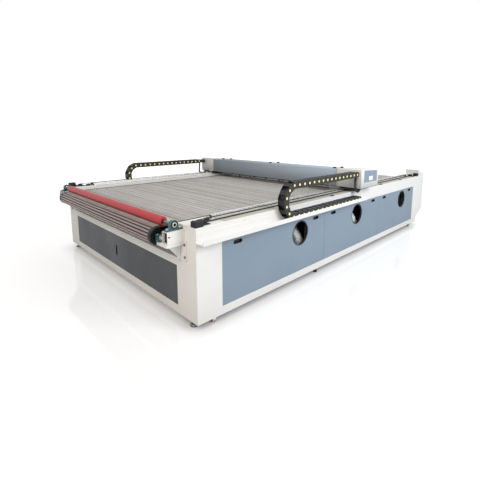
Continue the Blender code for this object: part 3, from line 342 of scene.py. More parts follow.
# %% [markdown]
# ## Small modelling tools
# Real parts are blocks, turned pieces, extrusions and tubes. Four functions add one such form to a mesh
# that is being drawn, and `place_piece` turns the drawing into an object. It rounds the edges with a Bevel,
# because real edges catch light, and makes the piece ride on its moving part.


# %% Modelling tools
def add_block(drawing, corner, opposite):
    """A block between two opposite corners, in any order."""
    made = bmesh.ops.create_cube(drawing, size=1.0)["verts"]
    low = Vector([min(pair) for pair in zip(corner, opposite)])
    high = Vector([max(pair) for pair in zip(corner, opposite)])
    bmesh.ops.scale(drawing, vec=high - low, verts=made)
    bmesh.ops.translate(drawing, vec=(low + high) / 2, verts=made)


def on_axis(axis, distance, first, second):
    """A point from its distance along an axis and its two other coordinates."""
    return {"X": (distance, first, second), "Y": (first, distance, second), "Z": (first, second, distance)}[
        axis
    ]


def join_rings(drawing, rings):
    """Faces between each ring of points and the next one."""
    for near, far in zip(rings, rings[1:]):
        for i in range(len(near)):
            j = (i + 1) % len(near)
            drawing.faces.new((near[i], near[j], far[j], far[i]))


def add_extrusion(drawing, loop, start, stop, axis):
    """A flat loop of points pushed along an axis from start to stop."""
    ends = [[drawing.verts.new(on_axis(axis, d, a, b)) for a, b in loop] for d in (start, stop)]
    for ring in ends:
        drawing.faces.new(ring)
    join_rings(drawing, ends)


def rod(start, stop, radius):
    """Profile of a plain disc or rod."""
    return [(start, 0), (start, radius), (stop, radius), (stop, 0)]


def add_turned(drawing, profile, axis, centre, steps=24, ring=False):
    """A profile of (distance along the axis, radius) turned about it. A ring closes onto its first point."""
    centre = Vector(centre)
    rings = []
    for distance, radius in profile:
        angles = [2 * math.pi * i / steps for i in range(steps if radius > 0 else 1)]
        points = [on_axis(axis, distance, radius * math.cos(a), radius * math.sin(a)) for a in angles]
        rings.append([drawing.verts.new(centre + Vector(point)) for point in points])
    pairs = list(zip(rings, rings[1:] + rings[:1])) if ring else list(zip(rings, rings[1:]))
    for near, far in pairs:
        for i in range(steps):
            j = (i + 1) % steps
            corners = [near[i % len(near)], near[j % len(near)], far[j % len(far)], far[i % len(far)]]
            corners = [c for k, c in enumerate(corners) if c is not corners[k - 1]]
            if len(corners) > 2:
                drawing.faces.new(corners)


def add_tube(drawing, points, radius, sides=10, swell=None):
    """A round tube through points, with an optional factor on the radius at each."""
    points = [Vector(p) for p in points]
    across = (points[1] - points[0]).orthogonal().normalized()
    rings = []
    for i, point in enumerate(points):
        heading = (points[min(i + 1, len(points) - 1)] - points[max(i - 1, 0)]).normalized()
        across = (across - heading * across.dot(heading)).normalized()
        other = heading.cross(across)
        size = radius * (swell[i] if swell else 1.0)
        turn = [2 * math.pi * k / sides for k in range(sides)]
        rings.append(
            [drawing.verts.new(point + size * (math.cos(a) * across + math.sin(a) * other)) for a in turn]
        )
    join_rings(drawing, rings)
    drawing.faces.new(rings[0])
    drawing.faces.new(rings[-1])


def oval(length, height, steps=8):
    """Outline of a slot with round ends."""
    points = []
    radius = height / 2
    for end, first in ((1, -math.pi / 2), (-1, math.pi / 2)):
        for i in range(steps + 1):
            a = first + math.pi * i / steps
            points.append((end * (length / 2 - radius) + radius * math.cos(a), radius * math.sin(a)))
    return points


def curve_through(route, count):
    """Evenly counted points on a smooth curve through a route."""
    route = [Vector(p) for p in route]
    route = [2 * route[0] - route[1]] + route + [2 * route[-1] - route[-2]]
    found = []
    for step in range(count + 1):
        where = min(step * (len(route) - 3) / count, len(route) - 3 - 1e-9)
        a, b, c, d = route[int(where) : int(where) + 4]
        t = where - int(where)
        bend = (2 * a - 5 * b + 4 * c - d) * t**2 + (3 * b - a - 3 * c + d) * t**3
        found.append(0.5 * (2 * b + (c - a) * t + bend))
    return found


def place_piece(drawing, name, material, body, replaced=(), edge=0.0):
    """Turn a drawing into a finished piece that rides on a moving part."""
    bmesh.ops.recalc_face_normals(drawing, faces=drawing.faces)
    mesh = bpy.data.meshes.new(name)
    drawing.to_mesh(mesh)
    drawing.free()
    mesh.shade_smooth()
    mesh.set_sharp_from_angle(angle=math.radians(35))
    mesh.materials.append(material)
    made = bpy.data.objects.new(name, mesh)
    bpy.context.scene.collection.objects.link(made)
    if edge:
        bevel = made.modifiers.new("rounded_edges", "BEVEL")
        bevel.width = edge
        bevel.segments = 2
        bevel.limit_method = "ANGLE"
        bevel.harden_normals = True
    if body:
        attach(made, body)
    if replaced:
        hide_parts(*replaced)
    return made


def add_bolt(drawing, head_at, axis, toward, across=0.017, washer=True):
    """A hexagon bolt head on a washer, seen from the side that toward points to."""
    rise = across * 0.4
    base = 0.0016 if washer else 0.0
    if washer:
        profile = rod(0, toward * base, across * 0.72)
        add_turned(drawing, profile, axis, head_at, steps=18)
    radius = across / math.sqrt(3)
    top = toward * (base + rise)
    profile = [
        (toward * base, 0), (toward * base, radius), (top * 0.86, radius), (top, radius * 0.86), (top, 0)
    ]
    add_turned(drawing, profile, axis, head_at, steps=6)


print("tools: block, extrusion, turned, tube, bolt")

# %% [markdown]
# ## Soft edges on the sheet-metal solids
# The posts, beams and panels already have the right shape, so they stay. Folded and welded steel has no
# razor edges: a Weld joins the corner points, a Bevel rounds them by a millimetre or two, and Weighted
# Normal keeps the large faces flat. These are modifiers, so the solids underneath aren't changed.


# %% Keep and finish the plain solids
def keep_solid(node, material, edge=0.002):
    """Give a solid its real material and softened edges."""
    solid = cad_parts[node]
    solid.data.materials.clear()
    solid.data.materials.append(material)
    solid.modifiers.new("joined_corners", "WELD").merge_threshold = 0.00002
    bevel = solid.modifiers.new("rounded_edges", "BEVEL")
    bevel.width = edge
    bevel.segments = 2
    bevel.limit_method = "ANGLE"
    bevel.angle_limit = math.radians(40)
    solid.modifiers.new("flat_faces", "WEIGHTED_NORMAL").keep_sharp = True


for side, sign in SIDES:
    keep_solid("side_frame_" + side, white_powder)
    keep_solid("chain_tray_" + side, white_powder, 0.0008)
    for number in (1, 2, 3):
        keep_solid(f"side_panel_{side}_{number}", blue_grey_powder, 0.0015)
    keep_solid("pillow_block_" + side, teal_enamel, 0.0025)
    keep_solid("front_bearing_" + side, teal_enamel, 0.0025)
    keep_solid("rear_bearing_" + side, teal_enamel, 0.0025)
    keep_solid("belt_tensioner_" + side, black_powder, 0.001)
    keep_solid("belt_drive_" + side, black_powder, 0.001)
    keep_solid("gantry_carriage_" + side, black_powder, 0.0015)
keep_solid("front_frame", white_powder)
keep_solid("rear_frame", white_powder)
# Front panel in the darker copy of the panel paint, as painted shade.
keep_solid("front_panel", shaded_front_powder, 0.0015)
keep_solid("suction_box", black_powder, 0.001)
keep_solid("gantry_beam", white_powder, 0.004)
keep_solid("rear_tower", white_powder, 0.0025)
print("solids kept:", sum(len(o.modifiers) == 3 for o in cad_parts.values()))

# %% [markdown]
# ## The slat bed
# The bed is an endless mat. Aluminium slats 32 mm wide lie side by side on a black carrier belt and turn
# round a drum at each end, where they spread open. Every fourth joint is wider. Each slat is a chamfered
# bar: it is drawn in its own small plane, then set on the path with a position and a heading.

# %% Path of the slats
slat_radius = 0.0743
carrier_radius = 0.0624
wide_joint = 0.0105
narrow_joint = 0.0021
slat_face = middle("slat_conveyor").z + slat_radius
drum_axis = middle("front_drum").z
front_drum_y = middle("front_drum").y
rear_drum_y = middle("rear_drum").y
bed_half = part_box("slat_conveyor")[1].x
slats_flat = 4 * round((rear_drum_y - front_drum_y) / 0.128)
slats_round = 8


def slat_stations():
    """Middle, heading and free width of each slat round the whole loop."""
    pitch = (rear_drum_y - front_drum_y) / slats_flat
    for way, height in ((-1, 1), (1, -1)):
        start = rear_drum_y if way < 0 else front_drum_y
        for i in range(slats_flat):
            gap = wide_joint if i % 4 == 0 else 0.0
            middle_y = start + way * ((i + 0.5) * pitch + gap / 2)
            place = Vector((0, middle_y, drum_axis + height * carrier_radius))
            yield place, Vector((0, way, 0)), pitch - narrow_joint - gap
        centre = front_drum_y if way < 0 else rear_drum_y
        chord = 2 * slat_radius * math.sin(math.pi / slats_round / 2)
        for i in range(slats_round):
            angle = (math.pi / 2 if way < 0 else -math.pi / 2) + math.pi * (i + 0.5) / slats_round
            outward = Vector((0, math.cos(angle), math.sin(angle)))
            heading = Vector((0, -math.sin(angle), math.cos(angle)))
            seat = carrier_radius - 0.0013
            yield Vector((0, centre, drum_axis)) + outward * seat, heading, chord - 0.0135


stations = list(slat_stations())
print("slats:", len(stations), "slat face at", round(slat_face, 4))

# %% Slats, carrier belt and edge chains
slats, turning_slats = bmesh.new(), bmesh.new()
slat_thick = 0.0117
shoulder = slat_thick - 0.002
for seat, heading, width in stations:
    outward = Vector((0, heading.z, -heading.y))
    half = width / 2
    profile = [(-half, 0.0), (half, 0.0), (half, shoulder), (half - 0.002, slat_thick), (0.0015, slat_thick)]
    profile += [(0, slat_thick - 0.001), (-0.0015, slat_thick), (0.002 - half, slat_thick), (-half, shoulder)]
    points = [seat + heading * run + outward * rise for run, rise in profile]
    loop = [(point.y, point.z) for point in points]
    add_extrusion(turning_slats if heading.z else slats, loop, -bed_half, bed_half, "X")
place_piece(slats, "slat_mat", slat_aluminium, "frame", ["slat_conveyor"])
# The slats on the drums carry the roller's painted reflection.
place_piece(turning_slats, "slats_on_the_drums", roller_reflection_aluminium, "frame")


def belt_line(near_y, far_y, height, radius, steps):
    """Points of a closed belt line at a radius round two drums or pulleys."""
    points = []
    for centre, first in ((near_y, math.pi / 2), (far_y, -math.pi / 2)):
        for i in range(steps + 1):
            angle = first + math.pi * i / steps
            points.append((centre + radius * math.cos(angle), height + radius * math.sin(angle)))
    return points


def add_band(drawing, inner, outer, start, stop):
    """A closed band between two belt lines, from one X to another."""
    rings = [
        [drawing.verts.new((x, y, z)) for y, z in line] for x in (start, stop) for line in (inner, outer)
    ]
    for a, b in ((0, 1), (1, 3), (3, 2), (2, 0)):
        join_rings(drawing, (rings[a], rings[b]))


def round_drums(radius):
    """The belt line at a radius round both drums."""
    return belt_line(front_drum_y, rear_drum_y, drum_axis, radius, 16)


carrier = bmesh.new()
inner, outer = round_drums(carrier_radius - 0.0012), round_drums(carrier_radius + 0.0008)
add_band(carrier, inner, outer, -bed_half + 0.004, bed_half - 0.004)
inner, outer = round_drums(carrier_radius + 0.0112), round_drums(carrier_radius + 0.0128)
for start, stop in ((bed_half - 0.030, bed_half - 0.0005), (-bed_half + 0.0005, -bed_half + 0.030)):
    add_band(carrier, inner, outer, start, stop)
place_piece(carrier, "slat_carrier", belt_rubber, "frame")

edge_chain = bmesh.new()
chain_line = 0.0690
chain_links = 372
circumference = 2 * (rear_drum_y - front_drum_y) + 2 * math.pi * chain_line


def on_belt_line(distance, radius):
    """Place and heading at a distance along the belt line, starting at the rear top."""
    flat_run = rear_drum_y - front_drum_y
    turn = math.pi * radius
    distance = distance % (2 * flat_run + 2 * turn)
    if distance < flat_run:
        return (rear_drum_y - distance, drum_axis + radius), (-1, 0)
    if distance < flat_run + turn:
        a = math.pi / 2 + (distance - flat_run) / radius
        return (front_drum_y + radius * math.cos(a), drum_axis + radius * math.sin(a)), (
            -math.sin(a), math.cos(a)
        )
    if distance < 2 * flat_run + turn:
        return (front_drum_y + distance - flat_run - turn, drum_axis - radius), (1, 0)
    a = -math.pi / 2 + (distance - 2 * flat_run - turn) / radius
    return (rear_drum_y + radius * math.cos(a), drum_axis + radius * math.sin(a)), (-math.sin(a), math.cos(a))


for sign in (1, -1):
    for i in range(chain_links):
        (y, z), (run, rise) = on_belt_line(i * circumference / chain_links, chain_line)
        reach = 0.0105 if i % 2 else 0.0135
        x = sign * (bed_half + (0.0045 if i % 2 else 0.0020))
        stop = sign * (bed_half + (0.0135 if i % 2 else 0.0160))
        shape = (
            (-reach, -0.003), (-reach, 0.003), (-0.006, 0.005), (0.006, 0.005), (reach, 0.003),
            (reach, -0.003), (0.006, -0.005), (-0.006, -0.005),
        )
        loop = [(y + run * s - rise * t, z + rise * s + run * t) for s, t in shape]
        add_extrusion(edge_chain, loop, x, stop, "X")
place_piece(edge_chain, "slat_edge_chains", blackened_steel, "frame")
print("edge chain pitch", round(1000 * circumference / chain_links, 1), "mm")

# %% [markdown]
# ## Drums and sprockets
# Each end of the bed turns on a drum. A toothed wheel at each end of it pulls the edge chains, and the
# shaft ends in a bearing. Turned parts are drawn as a profile and spun. The teeth are one flat outline
# pushed along the shaft.


# %% Drums
def sprocket_outline(centre_y, centre_z, teeth, root, tip):
    """Toothed wheel seen from its side."""
    points = []
    for tooth in range(teeth):
        for share, radius in ((0.0, root), (0.25, root), (0.42, tip), (0.58, tip), (0.75, root)):
            angle = 2 * math.pi * (tooth + share) / teeth
            points.append((centre_y + radius * math.cos(angle), centre_z + radius * math.sin(angle)))
    return points


bolt_angles = [2 * math.pi * k / 5 for k in range(5)]
sprocket_bolts = [(0.0415 * math.cos(a), 0.0415 * math.sin(a)) for a in bolt_angles]
for drum in ("front_drum", "rear_drum"):
    low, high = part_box(drum)
    centre = (0, middle(drum).y, drum_axis)
    shell = bmesh.new()
    half = bed_half - 0.001
    add_turned(
        shell, [(-half, 0.03), (-half, 0.0605), (half, 0.0605), (half, 0.03)], "X", centre, 48, ring=True
    )
    place_piece(shell, drum + "_shell", blackened_steel, drum, [drum])
    wheels = bmesh.new()
    for sign in (1, -1):
        start, stop = sign * (bed_half + 0.001), sign * (bed_half + 0.0195)
        loop = sprocket_outline(centre[1], centre[2], 16, 0.0575, 0.0640)
        add_extrusion(wheels, loop, sign * (bed_half + 0.0055), sign * (bed_half + 0.0125), "X")
        web, hub = stop - sign * 0.004, stop + sign * 0.008
        rim = [(start, 0.0160), (start, 0.0560), (stop, 0.0560), (stop, 0.0500), (web, 0.0480)]
        rim += [(web, 0.0350), (hub, 0.0335), (hub, 0.0160)]
        add_turned(wheels, rim, "X", centre, 40, ring=True)
        for y, z in sprocket_bolts:
            add_bolt(wheels, (web, centre[1] + y, centre[2] + z), "X", sign, across=0.009, washer=False)
    place_piece(wheels, drum + "_sprockets", blackened_steel, drum, edge=0.0006)
    shaft = bmesh.new()
    ends = [(low.x, 0), (low.x, 0.0130), (low.x + 0.002, 0.0149)]
    ends += [(high.x - 0.002, 0.0149), (high.x, 0.0130), (high.x, 0)]
    add_turned(shaft, ends, "X", centre, 32)
    place_piece(shaft, drum + "_shaft", ground_steel, drum)
print("drum axis", round(drum_axis, 4), "front", round(front_drum_y, 4), "rear", round(rear_drum_y, 4))

# %% [markdown]
# ## The nip roller
# A red rubber roller presses roll material onto the slats. Rubber is ground on its core, so its ends are
# slightly rounded and show the steel tube inside. The shaft runs in two cast housings. The rubber, the core
# and the shaft are separate turned pieces because they are different materials.

# %% Nip roller
roller = middle("nip_roller")
roller_low, roller_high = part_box("nip_roller")
covering = bmesh.new()
rubber = bed_half
profile = [(-rubber, 0.0162), (-rubber, 0.0340), (-rubber + 0.004, 0.0368), (-rubber + 0.011, 0.0380)]
profile += [(rubber - 0.011, 0.0380), (rubber - 0.004, 0.0368), (rubber, 0.0340), (rubber, 0.0162)]
add_turned(covering, profile, "X", roller, 48, ring=True)
place_piece(covering, "nip_roller_rubber", red_rubber, "nip_roller", ["nip_roller"])
core = bmesh.new()
end = rubber + 0.0058
profile = [(-end, 0.0127), (-end, 0.0145), (-end + 0.002, 0.0160)]
profile += [(end - 0.002, 0.0160), (end, 0.0145), (end, 0.0127)]
add_turned(core, profile, "X", roller, 40, ring=True)
for sign in (1, -1):
    near, far = sign * (end + 0.0003), sign * (end + 0.013)
    collar = [(near, 0.0127), (near, 0.0150), (far, 0.0150), (far, 0.0127)]
    add_turned(core, collar, "X", roller, 32, ring=True)
place_piece(core, "nip_roller_core", blackened_steel, "nip_roller", edge=0.0006)
shaft = bmesh.new()
ends = [(roller_low.x, 0), (roller_low.x, 0.0105), (roller_low.x + 0.002, 0.0124)]
ends += [(roller_high.x - 0.002, 0.0124), (roller_high.x, 0.0105), (roller_high.x, 0)]
add_turned(shaft, ends, "X", roller, 32)
place_piece(shaft, "nip_roller_shaft", worn_steel, "nip_roller")
print("roller", round(2 * rubber, 3), "m long, 76 mm across")

# %% [markdown]
# ## Bearing housings and their brackets
# Each shaft end sits in a cast housing with a steel insert, bolted to a square tube. The tube is welded to
# a plate on the post, with a shelf and a gusset under it. The real tube is open at the front, so the
# bracket is drawn again from four walls instead of one block.

# %% Bearing inserts, bolts and brackets
for side, sign in SIDES:
    block_low, block_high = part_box("pillow_block_" + side)
    block_x = (block_low.x + block_high.x) / 2
    axis_at = (block_x, roller.y, roller.z)
    insert, race = bmesh.new(), bmesh.new()
    for way in (1, -1):
        outer_race = [
            (0, 0.0215), (0, 0.0300), (way * 0.0182, 0.0300), (way * 0.0182, 0.0265), (way * 0.0165, 0.0215)
        ]
        add_turned(race, outer_race, "X", axis_at, 36, ring=True)
        inner_race = [
            (0, 0.0129), (0, 0.0195), (way * 0.0235, 0.0195), (way * 0.0245, 0.0185), (way * 0.0245, 0.0129)
        ]
        add_turned(insert, inner_race, "X", axis_at, 36, ring=True)
    cap_x = roller_high.x if sign > 0 else roller_low.x
    cap = [(0, 0), (0, 0.0160), (sign * 0.0015, 0.0150), (sign * 0.0015, 0)]
    add_turned(race, cap, "X", (cap_x, roller.y, roller.z), 24)
    place_piece(
        race, "roller_bearing_race_" + side, blackened_steel, "frame", edge=0.0005
    )
    place_piece(
        insert, "roller_bearing_insert_" + side, ground_steel, "frame", edge=0.0005
    )
    bolts = bmesh.new()
    for reach in (-0.056, 0.056):
        add_bolt(bolts, (block_x, roller.y + reach, block_low.z + 0.014), "Z", 1, across=0.018)
    nipple = [
        (0.0, 0), (0.0, 0.0045), (0.004, 0.0045), (0.005, 0.003), (0.009, 0.0034), (0.011, 0.0018),
        (0.011, 0),
    ]
    add_turned(bolts, nipple, "Z", (block_x, roller.y, block_high.z - 0.001), 12)
    small_low, small_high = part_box("front_bearing_" + side)
    small_x = (small_low.x + small_high.x) / 2
    outside = small_high.x if sign > 0 else small_low.x
    ring = [
        (0, 0.0155), (0, 0.0275), (sign * 0.0012, 0.0275), (sign * 0.0022, 0.0265), (sign * 0.0022, 0.0155)
    ]
    add_turned(bolts, ring, "X", (outside, front_drum_y, drum_axis), 32, ring=True)
    for reach in (-0.031, 0.031):
        add_bolt(bolts, (small_x, front_drum_y + reach, small_high.z), "Z", 1, across=0.010)
    place_piece(bolts, "bearing_bolts_" + side, zinc_steel, "frame")

    low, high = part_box("bearing_bracket_" + side)
    plate_back = high.y
    arm_inner, arm_outer = sign * 1.275, sign * 1.350
    arm_top, arm_low = block_low.z - 0.0003, block_low.z - 0.0003 - 0.097
    arm_front = along(-0.157)
    wall = 0.004
    bracket = bmesh.new()
    tube = [(arm_inner, arm_low), (arm_outer, arm_low), (arm_outer, arm_top), (arm_inner, arm_top)]
    add_extrusion(bracket, tube, arm_front + 0.045, plate_back, "Y")
    for near, far, bottom, top in (
        (arm_inner, arm_inner + sign * wall, arm_low, arm_top),
        (arm_outer - sign * wall, arm_outer, arm_low, arm_top),
        (arm_inner + sign * wall, arm_outer - sign * wall, arm_low, arm_low + wall),
        (arm_inner + sign * wall, arm_outer - sign * wall, arm_top - wall, arm_top),
    ):
        add_block(bracket, (near, arm_front, bottom), (far, arm_front + 0.0452, top))
    plate_front = plate_back - 0.012
    add_block(bracket, (sign * 1.257, plate_front, up(0.504)), (sign * 1.377, plate_back, up(0.68)))
    wall_y, shelf_z = plate_back - 0.0121, arm_low - 0.0275
    shelf_low, shelf_top = arm_low - 0.028, arm_low - 0.0005
    add_block(bracket, (sign * 1.196, along(-0.163), shelf_low), (sign * 1.346, wall_y, shelf_top))
    gusset = [(along(-0.135), shelf_z), (wall_y, shelf_z), (wall_y, up(0.508))]
    gusset += [(wall_y - 0.030, up(0.508)), (wall_y - 0.030, up(0.540))]
    gusset_near, gusset_far = sorted((sign * 1.296, sign * 1.304))
    add_extrusion(bracket, gusset, gusset_near, gusset_far, "X")
    place_piece(
        bracket, "bracket_weldment_" + side, white_powder, "frame", ["bearing_bracket_" + side], 0.0015,
    )

    # Painted shade: a dark block inside the open end of the tube and a dark oval slot in its side.
    dark = bmesh.new()
    inside_low = (arm_inner + sign * wall, arm_front + 0.020, arm_low + wall)
    inside_high = (arm_outer - sign * wall, arm_front + 0.0455, arm_top - wall)
    add_block(dark, inside_low, inside_high)
    slot_loop = [(arm_front + 0.017 + a, arm_low + 0.059 + b) for a, b in oval(0.0196, 0.0096, 6)]
    add_extrusion(dark, slot_loop, arm_outer - sign * 0.001, arm_outer + sign * 0.0006, "X")
    place_piece(dark, "bracket_tube_painted_shade_" + side, dark_interior, "frame")

    plate_bolts = bmesh.new()
    for x, z in ((1.282, 0.536), (1.364, 0.538), (1.364, 0.642)):
        add_bolt(plate_bolts, (sign * x, plate_front, up(z)), "Y", -1, across=0.017)
    place_piece(plate_bolts, "bracket_bolts_" + side, worn_steel, "frame")
print("roller axis", round(roller.z, 4))

# %% [markdown]
# ## Slideways and belts
# The gantry rolls on a ground rail along each side, screwed onto a painted bar. A rail has a waist that the
# carriage grips and a screw every 80 mm under a steel cap. Beside it a toothed belt pulls the gantry. Teeth
# 8 mm apart are drawn one by one along both runs.

# %% Rails and toothed belts
for side, sign in SIDES:
    low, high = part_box("gantry_rail_" + side)
    x = (low.x + high.x) / 2
    bar = bmesh.new()
    rail_height = 0.018
    bar_top = high.z - rail_height
    add_block(bar, (low.x, low.y, low.z), (high.x, high.y, bar_top))
    place_piece(bar, "rail_bar_" + side, white_powder, "frame", edge=0.001)
    # Beige strips on the beam tops, beside the rail and the belt: painted shade on the top faces.
    shaded_tops = bmesh.new()
    for near, far in ((1.248, 1.317), (1.343, 1.384), (1.416, 1.490)):
        add_block(shaded_tops, (sign * near, low.y + 0.02, up(0.8)), (sign * far, high.y - 0.02, up(0.801)))
    place_piece(shaded_tops, "painted_shade_top_" + side, beige_top_shade_paint, "frame")
    rail = bmesh.new()
    half_shape = [(0.010, 0.0), (0.010, 0.006), (0.0075, 0.0085), (0.0075, 0.0115)]
    half_shape += [(0.0098, 0.0135), (0.0098, 0.0165), (0.0085, rail_height)]
    loop = [(x + a, bar_top + b) for a, b in half_shape]
    loop += [(x - a, bar_top + b) for a, b in reversed(half_shape)]
    add_extrusion(rail, loop, low.y, high.y, "Y")
    place_piece(rail, "slideway_" + side, ground_steel, "frame", ["gantry_rail_" + side])
    plugs, stops = bmesh.new(), bmesh.new()
    cap_pitch = 0.080
    for i in range(int((high.y - low.y) / cap_pitch)):
        at = (x, low.y + 0.03 + cap_pitch * i, high.z)
        cap = [(-0.001, 0), (-0.001, 0.0034), (0.0003, 0.0034), (0.0005, 0.0020), (0.0005, 0)]
        add_turned(plugs, cap, "Z", at, 12)
    for y in (low.y - 0.0055, high.y + 0.0005):
        add_block(stops, (x - 0.012, y, low.z), (x + 0.012, y + 0.005, high.z - 0.003))
    place_piece(plugs, "rail_caps_" + side, zinc_steel, "frame")
    place_piece(stops, "rail_stops_" + side, black_nylon, "frame")

    low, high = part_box("timing_belt_" + side)
    centre_z = (low.z + high.z) / 2
    idler_y, drive_y = low.y + 0.0153, high.y - 0.0153
    belt = bmesh.new()
    inner = belt_line(idler_y, drive_y, centre_z, 0.0129, 12)
    outer = belt_line(idler_y, drive_y, centre_z, 0.0152, 12)
    add_band(belt, inner, outer, low.x, high.x)
    tooth_pitch = 0.008
    teeth = int((drive_y - idler_y) / tooth_pitch)
    for way in (1, -1):
        root, tip = centre_z + way * 0.0131, centre_z + way * 0.0113
        for i in range(teeth):
            y = idler_y + tooth_pitch / 2 + tooth_pitch * i
            loop = [(y - 0.0022, root), (y - 0.0012, tip), (y + 0.0012, tip), (y + 0.0022, root)]
            add_extrusion(belt, loop, low.x + 0.0005, high.x - 0.0005, "X")
    place_piece(
        belt, "toothed_belt_" + side, belt_rubber, "frame", ["timing_belt_" + side]
    )

    idler = middle("idler_pulley_" + side)
    pulley = bmesh.new()
    points = sprocket_outline(0, 0, 11, 0.0097, 0.0111)
    inner_low, inner_high = low.x + 0.001, high.x - 0.001
    add_extrusion(pulley, [(idler.y + a, idler.z + b) for a, b in points], inner_low, inner_high, "X")
    for start, stop in ((low.x - 0.001, low.x + 0.001), (high.x - 0.001, high.x + 0.001)):
        rim = [(start, 0.0045), (start, 0.0119), (stop, 0.0119), (stop, 0.0045)]
        add_turned(pulley, rim, "X", (0, idler.y, idler.z), 32, ring=True)
    place_piece(
        pulley, "idler_" + side, zinc_steel, "idler_pulley_" + side, ["idler_pulley_" + side],
    )
print("belt teeth on each run:", teeth)

# %% [markdown]
# ## Corner units
# Black blocks close the rail beams at their corners, with a plate and two cheeks that hold the belt's
# pulley. Cap screws, a tension screw and a small limit switch are what makes such a unit readable.

# %% Corner unit screws and switches
for side, sign in SIDES:
    screws = bmesh.new()
    switch = bmesh.new()
    for node, way in (("belt_tensioner_" + side, 1), ("belt_drive_" + side, -1)):
        low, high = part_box(node)
        end_y = low.y if way > 0 else high.y
        top = high.z
        for dx in (0.012, 0.052):
            for dy in (0.014, 0.062):
                at = (sign * (half_table - dx), end_y + way * dy, top)
                add_turned(screws, rod(0, 0.005, 0.0055), "Z", at, 16)
        pulley_y = end_y + way * 0.125
        axle_z = middle("idler_pulley_" + side).z
        for x in (1.371, 1.429):
            outward = 1 if x > belt_from_middle else -1
            at = (sign * (x + outward * 0.002), pulley_y, axle_z)
            add_bolt(screws, at, "X", sign * outward, across=0.011)
        near, far = end_y + way * 0.060, end_y + way * 0.068
        add_block(switch, (sign * 1.388, near, up(0.8034)), (sign * 1.412, far, axle_z + 0.010))
        tension = rod(0, way * 0.056, 0.0040)
        add_turned(screws, tension, "Y", (sign * belt_from_middle, end_y + way * 0.046, axle_z), 12)
        add_bolt(screws, (sign * belt_from_middle, near, axle_z), "Y", -way, across=0.012)
        near, far = end_y + way * 0.19, end_y + way * 0.24
        add_block(switch, (sign * 1.352, near, up(0.8005)), (sign * 1.366, far, up(0.826)))
        lever_x, lever_y = sign * 1.359, (near + far) / 2
        add_tube(switch, [(lever_x, lever_y, up(0.826)), (lever_x, lever_y + 0.004, up(0.834))], 0.003)
    place_piece(screws, "corner_screws_" + side, blackened_steel, "frame")
    place_piece(switch, "limit_switches_" + side, black_nylon, "frame", edge=0.0015)
print("corner units:", 4)

# %% [markdown]
# ## Feet and wheels
# The table stands on levelling feet: a pressed cup on a threaded stem with a lock nut. Small wheels near
# the corners carry it while it is moved. The stems inside the solids are thin, so threaded shells are drawn
# round them.

# %% Levelling feet and wheels
feet = bmesh.new()
pads = bmesh.new()
for side, sign in SIDES:
    for place_y in (0.045, 2.35, 4.655):
        at = (sign * 1.39, along(place_y), 0)
        cup = [
            (0.0005, 0), (0.0005, 0.0340), (0.0030, 0.0355), (0.0085, 0.0352), (0.0125, 0.0310),
            (0.0165, 0.0262), (0.0185, 0.0170), (0.0190, 0),
        ]
        add_turned(feet, cup, "Z", at, 28)
        stem = [(0.0185, 0)]
        for i in range(12):
            stem += [(0.0190 + 0.003 * i, 0.0104), (0.0205 + 0.003 * i, 0.0116)]
        add_turned(feet, stem + [(0.0548, 0.0104), (0.0548, 0)], "Z", at, 16)
        nut = rod(0.0425, 0.0540, 0.0185)
        add_turned(feet, nut, "Z", at, 6)
        add_turned(pads, rod(0.0002, 0.0045, 0.0372), "Z", at, 28)
place_piece(feet, "levelling_feet", worn_steel, "frame", edge=0.0004)
for side, sign in SIDES:
    buffer = [(0.0004, 0), (0.0004, 0.0190), (0.004, 0.0210), (0.034, 0.0175), (0.0545, 0.0175), (0.0545, 0)]
    add_turned(pads, buffer, "Z", (sign * 1.462, along(1.68), 0), 24)
place_piece(pads, "foot_pads", black_nylon, "frame")
forks = bmesh.new()
for side, sign in SIDES:
    for number in (1, 2):
        node = f"wheel_{side}_{number}"
        centre = middle(node)
        wheel = bmesh.new()
        tyre = [
            (-0.0108, 0.0150), (-0.0108, 0.0210), (-0.0075, 0.0236), (0.0075, 0.0236), (0.0108, 0.0210),
            (0.0108, 0.0150),
        ]
        add_turned(wheel, tyre, "X", centre, 32, ring=True)
        hub = [
            (-0.0100, 0.0046), (-0.0100, 0.0070), (-0.0070, 0.0080), (-0.0070, 0.0151), (0.0070, 0.0151),
            (0.0070, 0.0080), (0.0100, 0.0070), (0.0100, 0.0046),
        ]
        add_turned(wheel, hub, "X", centre, 32, ring=True)
        place_piece(wheel, f"caster_{side}_{number}", wheel_rubber, node, [node])
        for way in (1, -1):
            x = centre.x + way * 0.0183
            loop = [
                (centre.y - 0.010, 0.0172), (centre.y + 0.010, 0.0172), (centre.y + 0.0175, 0.0546),
                (centre.y - 0.0175, 0.0546),
            ]
            add_extrusion(forks, loop, x - 0.0006, x + 0.0006, "X")
            add_bolt(forks, (x + way * 0.0006, centre.y, centre.z), "X", way, across=0.008, washer=False)
place_piece(forks, "caster_forks", zinc_steel, "frame")
print("feet: 6, casters: 4")

# %% [markdown]
# ## Finger cups, port rims and the dark inside
# Each lift-off panel has two oval slots with a black moulded cup behind them, so a finger can hook in.
# Round ports in the right panels are edged with rubber. Behind the panels the machine is closed in, and every
# hole looks black: thin dark sheets stand behind the openings as painted shade.


# %% Cups, rims and painted shade sheets
def add_cup(drawing, place_points, outline, depth):
    """A shallow cup with a lip, from a function that turns (across, high, out) into a point."""
    rings = []
    for scale_by, out in ((1.05, 0.0002), (1.05, 0.0012), (0.94, 0.0012), (0.92, -depth)):
        rings.append([drawing.verts.new(place_points(a * scale_by, b * scale_by, out)) for a, b in outline])
    join_rings(drawing, rings)
    drawing.faces.new(rings[-1])


def on_side_panel(across, high, out):
    """A point of a side panel's cup, whose place is set by the loop below."""
    return sign * (panel_face + out), cup_y + across, up(cup_height) + high


